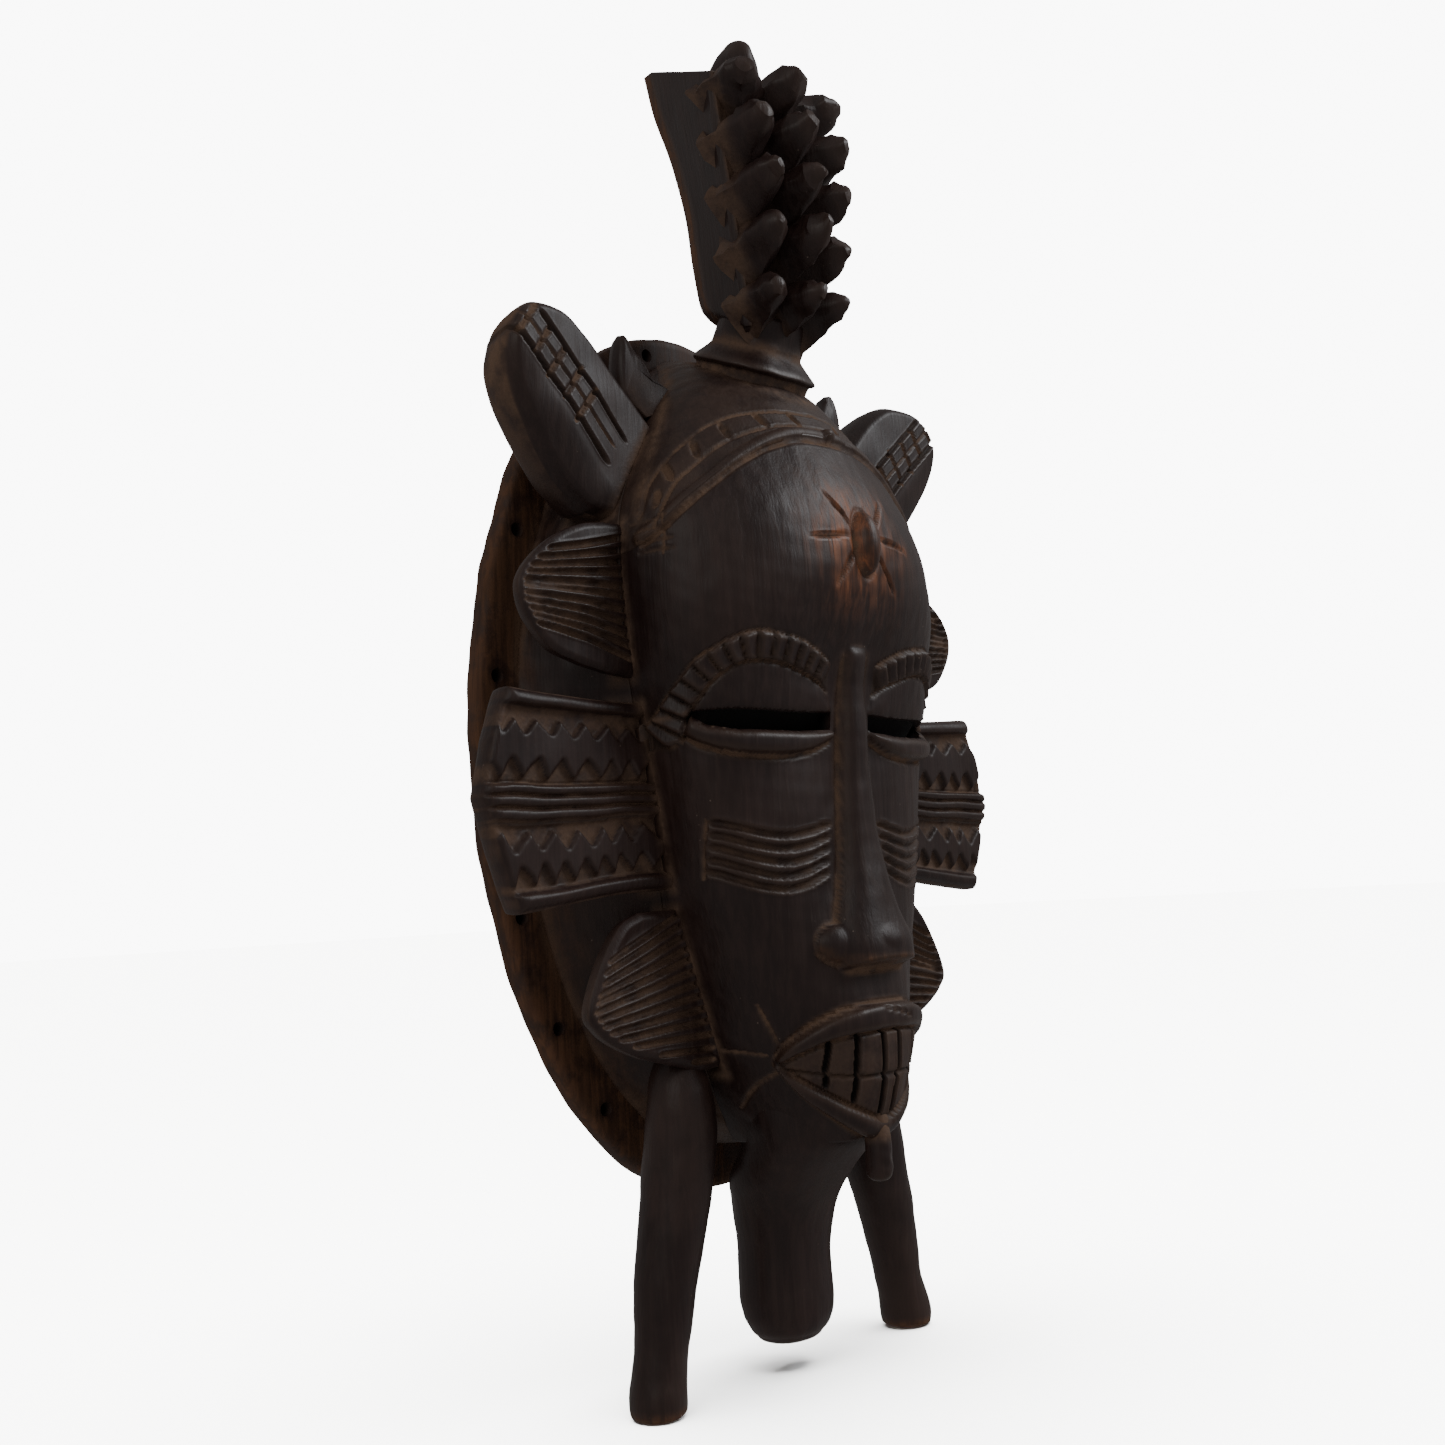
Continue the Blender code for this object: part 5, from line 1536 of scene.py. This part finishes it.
def carve_pedestal():
    """Waisted foot of the crest with a flared skirt."""
    neck = np.array([0.0, -31.8, -8.4])
    stations = ((6.0, 12.6, 10.4), (1.5, 13.0, 10.6), (-1.0, 13.4, 10.9), (-2.6, 13.8, 11.2),
                (-4.4, 15.6, 12.8), (-6.0, 17.6, 14.6), (-6.9, 18.4, 15.4), (-7.6, 18.6, 15.6),
                (-8.2, 18.0, 15.1), (-8.8, 17.2, 14.3), (-12.5, 16.8, 14.0))
    height, half_d, half_w = through(stations, 56)
    t = ring_angles(112)
    a = squared(np.sin(t), 0.62)
    b = squared(np.cos(t), 0.62) * (1.0 + 0.22 * np.minimum(a, 0.0))
    a = np.where(a < 0.0, 0.56 * a, a)
    rings = []
    for h, d, w in zip(height, half_d, half_w):
        ring = neck + LIFT * h + SLOPE * d * a[:, None]
        ring[:, 0] = w * b
        rings.append(ring)
    rings = np.array(rings)
    rings = rings + (0.18 * ripple(rings, 8.0, 38))[..., None] * np.array([1.0, -0.5, 0.3])
    pedestal = lofted("crest_pedestal_carved", rings)
    p = coordinates(pedestal)
    level = (p - neck) @ LIFT
    waist = np.exp(-((level + 2.2) / 1.6) ** 2)
    store(pedestal, {"dust": np.maximum(0.8 * ramp(-level, 7.8, 9.2), 0.55 * waist),
                     "wear": 0.9 * np.exp(-((level + 7.0) / 0.9) ** 2)})
    return pedestal


def carve_slab():
    """Tall flat-sided board that carries the spikes, with a worn rear edge."""
    stations = ((-4.0, -11.8, -25.5, -41.0, 7.4, 10.0), (-1.6, -10.4, -23.6, -42.4, 8.8, 11.6),
                (2.0, -8.5, -22.2, -42.9, 10.0, 12.8), (12.0, 6.0, -21.0, -42.8, 10.6, 14.6),
                (26.0, 20.0, -19.7, -42.6, 11.0, 16.2), (41.6, 34.0, -16.3, -42.4, 11.4, 18.4),
                (58.0, 46.5, -10.8, -42.2, 11.8, 20.0),
                (SLAB_BACK_TOP, SLAB_FRONT_TOP, -7.6, -41.6, 12.0, 20.4))
    z_back, z_front, y_back, y_front, back_w, front_w = through(stations, 150)
    rings = []
    for zb, zf, yb, yf, bw, fw in zip(z_back, z_front, y_back, y_front, back_w, front_w):
        corners = ((-bw + 1.7, yb, zb), (bw - 1.7, yb, zb), (bw, yb - 4.2, zb - 1.0), (fw, yf + 1.4, zf),
                   (fw - 1.3, yf, zf), (-fw + 1.3, yf, zf), (-fw, yf + 1.4, zf), (-bw, yb - 4.2, zb - 1.0))
        ring = []
        for a, b, n in zip(corners, corners[1:] + corners[:1], (12, 4, 22, 4, 22, 4, 22, 4)):
            for s in np.linspace(0.0, 1.0, n, endpoint=False):
                ring.append([p + (q - p) * s for p, q in zip(a, b)])
        rings.append(ring)
    rings = np.array(rings)
    centre = rings.mean(axis=1, keepdims=True)
    top = [centre[-1] + (rings[-1] - centre[-1]) * s + np.array([0.0, 0.0, lift])
           for s, lift in ((0.975, 0.45), (0.93, 0.6), (0.7, 0.6), (0.4, 0.6), (0.15, 0.6))]
    rings = np.concatenate([rings, np.array(top)])
    rings[..., 0] += 0.06 * ripple(rings, 15.0, 51) * np.sign(rings[..., 0])
    rings[..., 1] += 0.06 * ripple(rings, 12.0, 52)
    slab = lofted("crest_slab_carved", rings)
    p = coordinates(slab)
    back_y = np.interp(p[:, 2], z_back, y_back)
    rear = ramp(p[:, 1] - back_y, -4.3, -3.4)
    front_gap = np.interp(p[:, 2], z_front, y_front)
    bed = ramp(-(p[:, 1] - front_gap), -0.8, 0.2)
    store(slab, {"bare": 0.75 * rear * (p[:, 2] > -4.0), "dust": 0.55 * bed,
                 "wear": 0.8 * ramp(p[:, 1] - back_y, -5.6, -4.4) * (1.0 - rear)})
    slab.data.set_sharp_from_angle(angle=math.radians(30.0))
    return slab


def spike_shape():
    """One blunt four-sided spike of unit size along +Z, for the rows of the crest."""
    levels, sides = 12, 24
    radius = 1.22 - 0.86 * np.clip(np.linspace(0.0, 1.0, levels) * 1.05, 0.0, 1.0) ** 0.85
    radius[-3:] = (0.38, 0.29, 0.14)
    height = np.concatenate([np.linspace(-0.25, 0.78, levels - 3), (0.86, 0.95, 1.0)])
    radius[0] *= 1.1
    angle = ring_angles(sides)
    rings = []
    for r, h in zip(radius, height):
        power = 1.0 / (0.55 + 0.24 * max(h, 0.0))
        x, y = squared(np.cos(angle), power), squared(np.sin(angle), power)
        rings.append(np.stack([r * x, r * y, np.full_like(x, h)], axis=1))
    spike = lofted("crest_spike_shape", rings)
    flat = np.array([v.co for v in spike.data.vertices])
    flat[:, 2] -= RIM_TOP
    spike.data.vertices.foreach_set("co", (flat / MM).reshape(-1))
    return spike


def carve_spikes(material):
    """Three columns of blunt spikes, set on the slab by a tree."""
    edges = (58.5, 45.6, 31.0, 17.0, 2.4, -10.0)
    widths = (20.0, 18.6, 16.8, 15.2, 13.8, 12.2)
    side_tips = ((17.5, -51.2, 52.6), (15.8, -55.6, 39.0), (13.9, -56.8, 24.8), (12.6, -55.8, 10.4),
                 (12.4, -53.9, -4.6))
    middle_tips = ((0.0, -54.2, 53.4), (0.0, -57.7, 40.6), (0.0, -59.6, 26.2), (0.0, -60.4, 11.6),
                   (0.0, -57.1, -4.4))
    rng = np.random.default_rng(91)
    spots, turns, sizes = [], [], []
    for side, tips in ((-1, side_tips), (0, middle_tips), (1, side_tips)):
        for k, (tx, ty, tz) in enumerate(tips):
            w = 0.5 * (widths[k] + widths[k + 1])
            foot = np.array([0.68 * side * w, -42.4, 0.5 * (edges[k] + edges[k + 1]) - 0.4])
            tip = np.array([side * tx if side else 0.0, ty, tz + 2.0])
            tip += rng.normal(0.0, 0.35, 3)
            run = tip - foot
            length = float(np.linalg.norm(run))
            turns.append(Vector(run).to_track_quat("Z", "Y").to_euler())
            spots.append(foot)
            sizes.append((0.46 * w, 0.64 * (edges[k] - edges[k + 1]), length + 1.2))
    marks = points_object("crest_spikes_carved", spots, {
        "turn": ("FLOAT_VECTOR", [tuple(t) for t in turns]),
        "size": ("FLOAT_VECTOR", np.array(sizes) * MM)})
    shape = spike_shape()
    rule = Rule("rows of spikes", (("Spike", "NodeSocketObject"), ("Girth", "NodeSocketVector")))
    given = rule.source.outputs
    spike = rule.node("GeometryNodeObjectInfo", {}, {"Object": given["Spike"]})
    turn, size = (rule.node("GeometryNodeInputNamedAttribute", {"data_type": "FLOAT_VECTOR"}, {"Name": key})
                  for key in ("turn", "size"))
    angle = rule.node("FunctionNodeEulerToRotation", {}, {"Euler": turn.outputs[0]})
    fat = rule.node("ShaderNodeVectorMath", {"operation": "MULTIPLY"},
                    {0: size.outputs[0], 1: given["Girth"]})
    rows = rule.node("GeometryNodeInstanceOnPoints", {},
                     {"Points": given["Geometry"], "Instance": spike.outputs["Geometry"],
                      "Rotation": angle.outputs[0], "Scale": fat.outputs[0]})
    rule.close(rows.outputs[0], material)
    girth = carving_settings().spike_girth
    rule.apply(marks, {"Spike": shape, "Girth": (girth, girth, 1.0)})
    bpy.data.objects.remove(shape, do_unlink=True)
    p = coordinates(marks)
    offset = np.stack([0.5 * ripple(p, 6.0, 92), 0.35 * ripple(p, 7.0, 93), 0.5 * ripple(p, 6.0, 94)], axis=1)
    shift_points(marks, offset)
    per = len(p) // len(spots)
    dust, wear = [], []
    for k, spot in enumerate(spots):
        part = p[k * per:(k + 1) * per]
        out = (spot[1] - part[:, 1]) / abs(spots[k][1] - part[:, 1].min())
        dust.append(0.45 * ramp(-out, -0.30, -0.05))
        wear.append(0.75 * ramp(out, 0.72, 0.98))
    store(marks, {"dust": np.concatenate(dust), "wear": np.concatenate(wear)})
    marks.data.set_sharp_from_angle(angle=math.radians(34.0))
    return marks


def slab_top(y):
    """Height of the slab's sloping top at depth y."""
    return SLAB_FRONT_TOP + (SLAB_BACK_TOP - SLAB_FRONT_TOP) * (y + 40.6) / 33.0


def carve_top_spike():
    """Rounded hump on the sloping top of the slab."""
    stations = ((-1.2, 6.6, 8.6, -0.2), (0.6, 6.5, 8.5, 0.0), (4.0, 6.0, 7.8, 0.6), (8.0, 4.8, 6.0, 1.6),
                (11.0, 3.4, 4.2, 2.7), (12.6, 2.2, 2.7, 3.3), (13.3, 1.0, 1.3, 3.6))
    lift, r_x, r_y, lean = through(stations, 40)
    t = ring_angles(56)
    rings = []
    for h, rx, ry, ln in zip(lift, r_x, r_y, lean):
        y = -31.4 + ry * np.sin(t)
        rings.append(np.stack([rx * np.cos(t), y - ln, slab_top(y) + 0.5 + h], axis=1))
    rings = np.array(rings)
    rings = rings + (0.25 * ripple(rings, 6.0, 97))[..., None] * np.array([1.0, -0.4, 0.2])
    hump = lofted("crest_top_carved", rings)
    p = coordinates(hump)
    rise = p[:, 2] - slab_top(p[:, 1])
    store(hump, {"dust": 0.6 * ramp(-rise, -3.0, 0.0), "wear": 0.7 * ramp(rise, 9.0, 13.0)})
    return hump


# ---------------------------------------------------------------- operators

def one_node(obj, node, material):
    """Finishes a piece that stands for a single node."""
    return finished(obj, (node,), material)


class MASK_OT_face(bpy.types.Operator):
    """Carve the face with its eyes, brows, nose, cheeks and mouth"""
    bl_idname = "mask.face"
    bl_label = "Face"

    def execute(self, context):
        finished(carve_face(),
                 ("face", "nose", "brow_left", "brow_right", "lower_lid_left", "lower_lid_right",
                  "forehead_boss", "upper_lip", "lower_lip", "teeth_upper", "teeth_lower"),
                 carved_wood("face_stained_wood"))
        return {"FINISHED"}


class MASK_OT_crown(bpy.types.Operator):
    """Carve the crown and its headband"""
    bl_idname = "mask.crown"
    bl_label = "Crown and headband"

    def execute(self, context):
        finished(carve_crown(), ("crown", "headband"), carved_wood("crown_stained_wood"))
        return {"FINISHED"}


class MASK_OT_bowl(bpy.types.Operator):
    """Carve the side walls behind the face"""
    bl_idname = "mask.bowl"
    bl_label = "Side walls"

    def execute(self, context):
        one_node(carve_bowl(), "back_bowl", carved_wood("wall_stained_wood", wear_all=0.2))
        return {"FINISHED"}


class MASK_OT_flange(bpy.types.Operator):
    """Cut the flat flange and pierce its tie holes"""
    bl_idname = "mask.flange"
    bl_label = "Pierced flange"

    def execute(self, context):
        wood = carved_wood("flange_worn_wood", bare_gain=1.1, polish=0.58)
        one_node(carve_flange(wood), "rim_flange", wood)
        return {"FINISHED"}


class MASK_OT_wings(bpy.types.Operator):
    """Carve the broad plate on each side of the face"""
    bl_idname = "mask.wings"
    bl_label = "Wings"

    def execute(self, context):
        wood = carved_wood("wing_stained_wood")
        for side, word in SIDES:
            one_node(carve_wing(side, word), "wing_" + word, wood)
        return {"FINISHED"}


class MASK_OT_leaves(bpy.types.Operator):
    """Carve the grooved leaves above and below the wings"""
    bl_idname = "mask.leaves"
    bl_label = "Leaves"

    def execute(self, context):
        wood = carved_wood("leaf_stained_wood")
        for side, word in SIDES:
            one_node(carve_upper_leaf(side, word), "upper_leaf_" + word, wood)
            one_node(carve_lower_leaf(side, word), "lower_leaf_" + word, wood)
        return {"FINISHED"}


class MASK_OT_paddles(bpy.types.Operator):
    """Carve the paddles and the horns in front of them"""
    bl_idname = "mask.paddles"
    bl_label = "Paddles and horns"

    def execute(self, context):
        wood = carved_wood("paddle_stained_wood", dust_gain=1.1)
        for side, word in SIDES:
            one_node(carve_paddle(side, word), "paddle_" + word, wood)
            one_node(carve_horn(side, word), "horn_" + word, wood)
        return {"FINISHED"}


class MASK_OT_legs(bpy.types.Operator):
    """Turn the legs, the chin post and the peg"""
    bl_idname = "mask.legs"
    bl_label = "Legs, post and peg"

    def execute(self, context):
        wood = carved_wood("leg_stained_wood", wear_all=0.25)
        for side, word in SIDES:
            one_node(carve_leg(side, word, wood), "leg_" + word, wood)
        one_node(carve_post(), "chin_post", carved_wood("post_stained_wood"))
        one_node(carve_peg(), "tongue_peg", wood)
        return {"FINISHED"}


class MASK_OT_crest(bpy.types.Operator):
    """Carve the crest: pedestal, slab, rows of spikes and top hump"""
    bl_idname = "mask.crest"
    bl_label = "Crest"

    def execute(self, context):
        wood = carved_wood("crest_stained_wood")
        one_node(carve_pedestal(), "crest_pedestal", wood)
        one_node(carve_slab(), "crest_slab", wood)
        finished(carve_spikes(wood), ("crest_spikes_left", "crest_spikes_middle", "crest_spikes_right"), wood)
        one_node(carve_top_spike(), "crest_top_spike", wood)
        return {"FINISHED"}


FLOOR_REACH = 9.0
FLOOR_GAP = 0.0004
LIGHT_AIM = (0.0, -0.03, -0.07)
LIGHT_SIZE = 0.7
AMBIENT_TINT = (1.0, 0.95, 0.93, 1.0)
BACKDROP_TINT = (1.0, 1.0, 1.0, 1.0)
CAMERA_PLACE = (-0.29749, -0.29950, -0.14918)
CAMERA_TURN = (96.524, 3.179, -45.815)


def soft_light(name, where, power, colour):
    """Round area light that points at the mask."""
    light = bpy.data.lights.new(name, "AREA")
    light.shape = "DISK"
    light.size = LIGHT_SIZE
    light.energy = power
    light.color = colour
    obj = bpy.data.objects.new(name, light)
    obj.location = where
    obj.rotation_euler = (Vector(LIGHT_AIM) - Vector(where)).to_track_quat("-Z", "Y").to_euler()
    bpy.context.scene.collection.objects.link(obj)


class MASK_OT_stage(bpy.types.Operator):
    """Set up the pale floor, the soft light and the camera"""
    bl_idname = "mask.stage"
    bl_label = "Stage"

    def execute(self, context):
        scene = context.scene
        look = scene.mask_stage
        f = Finish("pale_paper")
        tone = f.noise(3.0, 2.0, 0.5)
        f.feed(f.shader.inputs["Base Color"], f.mix(tone * 0.05, look.floor, (0.80, 0.80, 0.79)))
        f.shader.inputs["Roughness"].default_value = 0.9
        f.shader.inputs["Specular IOR Level"].default_value = 0.1
        mesh = bpy.data.meshes.new("floor")
        corners = ((-1, -1), (1, -1), (1, 1), (-1, 1))
        mesh.from_pydata([(x * FLOOR_REACH, y * FLOOR_REACH, FLOOR_Z - FLOOR_GAP) for x, y in corners], [],
                         [(0, 1, 2, 3)])
        mesh.materials.append(f.material)
        floor = bpy.data.objects.new("floor", mesh)
        scene.collection.objects.link(floor)

        world = bpy.data.worlds.new("studio")
        world.use_nodes = True
        tree = world.node_tree
        dim = tree.nodes["Background"]
        bright = tree.nodes.new("ShaderNodeBackground")
        for node, tint, strength in ((dim, AMBIENT_TINT, look.ambient),
                                     (bright, BACKDROP_TINT, look.backdrop)):
            node.inputs["Color"].default_value = tint
            node.inputs["Strength"].default_value = strength
        seen = tree.nodes.new("ShaderNodeLightPath")
        either = tree.nodes.new("ShaderNodeMixShader")
        tree.links.new(seen.outputs["Is Camera Ray"], either.inputs[0])
        tree.links.new(dim.outputs[0], either.inputs[1])
        tree.links.new(bright.outputs[0], either.inputs[2])
        tree.links.new(either.outputs[0], tree.nodes["World Output"].inputs["Surface"])
        scene.world = world
        soft_light("key_light", (0.75, -0.85, 0.75), look.key_power, (0.94, 0.97, 1.0))
        soft_light("fill_light", (-1.1, -0.5, 0.6), look.fill_power, (1.0, 0.95, 0.90))
        sky = bpy.data.lights.new("floor_light", "SUN")
        sky.energy = look.floor_power
        sky.angle = math.radians(70.0)
        overhead = bpy.data.objects.new("floor_light", sky)
        scene.collection.objects.link(overhead)
        lit = bpy.data.collections.new("floor_only")
        lit.objects.link(floor)
        overhead.light_linking.receiver_collection = lit
        for ray in ("visible_diffuse", "visible_glossy", "visible_transmission"):
            setattr(floor, ray, False)

        camera = bpy.data.cameras.new("camera")
        camera.lens = look.lens
        camera.sensor_width = 36.0
        camera.clip_start = 0.01
        camera.dof.use_dof = False
        obj = bpy.data.objects.new("camera", camera)
        obj.location = CAMERA_PLACE
        obj.rotation_euler = [math.radians(a) for a in CAMERA_TURN]
        scene.collection.objects.link(obj)
        scene.camera = obj
        return {"FINISHED"}


PIECE_OPERATORS = (MASK_OT_face, MASK_OT_crown, MASK_OT_bowl, MASK_OT_flange, MASK_OT_wings, MASK_OT_leaves,
                   MASK_OT_paddles, MASK_OT_legs, MASK_OT_crest, MASK_OT_stage)


class MASK_PT_pieces(bpy.types.Panel):
    """Buttons for the pieces of the mask"""
    bl_idname = "MASK_PT_pieces"
    bl_label = "Carved mask"
    bl_space_type = "VIEW_3D"
    bl_region_type = "UI"
    bl_category = "Mask"

    def draw(self, context):
        for settings in (context.scene.mask_finish, context.scene.mask_carving, context.scene.mask_stage):
            box = self.layout.box()
            for key in settings.bl_rna.properties.keys():
                if key not in ("rna_type", "name"):
                    box.prop(settings, key)
        for operator in PIECE_OPERATORS:
            self.layout.operator(operator.bl_idname, text=operator.bl_label)


CLASSES = (MaskFinishSettings, MaskCarvingSettings, MaskStageSettings, *PIECE_OPERATORS, MASK_PT_pieces)


def register():
    for cls in CLASSES:
        bpy.utils.register_class(cls)
    bpy.types.Scene.mask_finish = PointerProperty(type=MaskFinishSettings)
    bpy.types.Scene.mask_carving = PointerProperty(type=MaskCarvingSettings)
    bpy.types.Scene.mask_stage = PointerProperty(type=MaskStageSettings)


def unregister():
    del bpy.types.Scene.mask_stage
    del bpy.types.Scene.mask_carving
    del bpy.types.Scene.mask_finish
    for cls in reversed(CLASSES):
        bpy.utils.unregister_class(cls)


def main():
    register()
    for operator in PIECE_OPERATORS:
        family, name = operator.bl_idname.split(".")
        getattr(getattr(bpy.ops, family), name)()


if __name__ == "__main__":
    main()
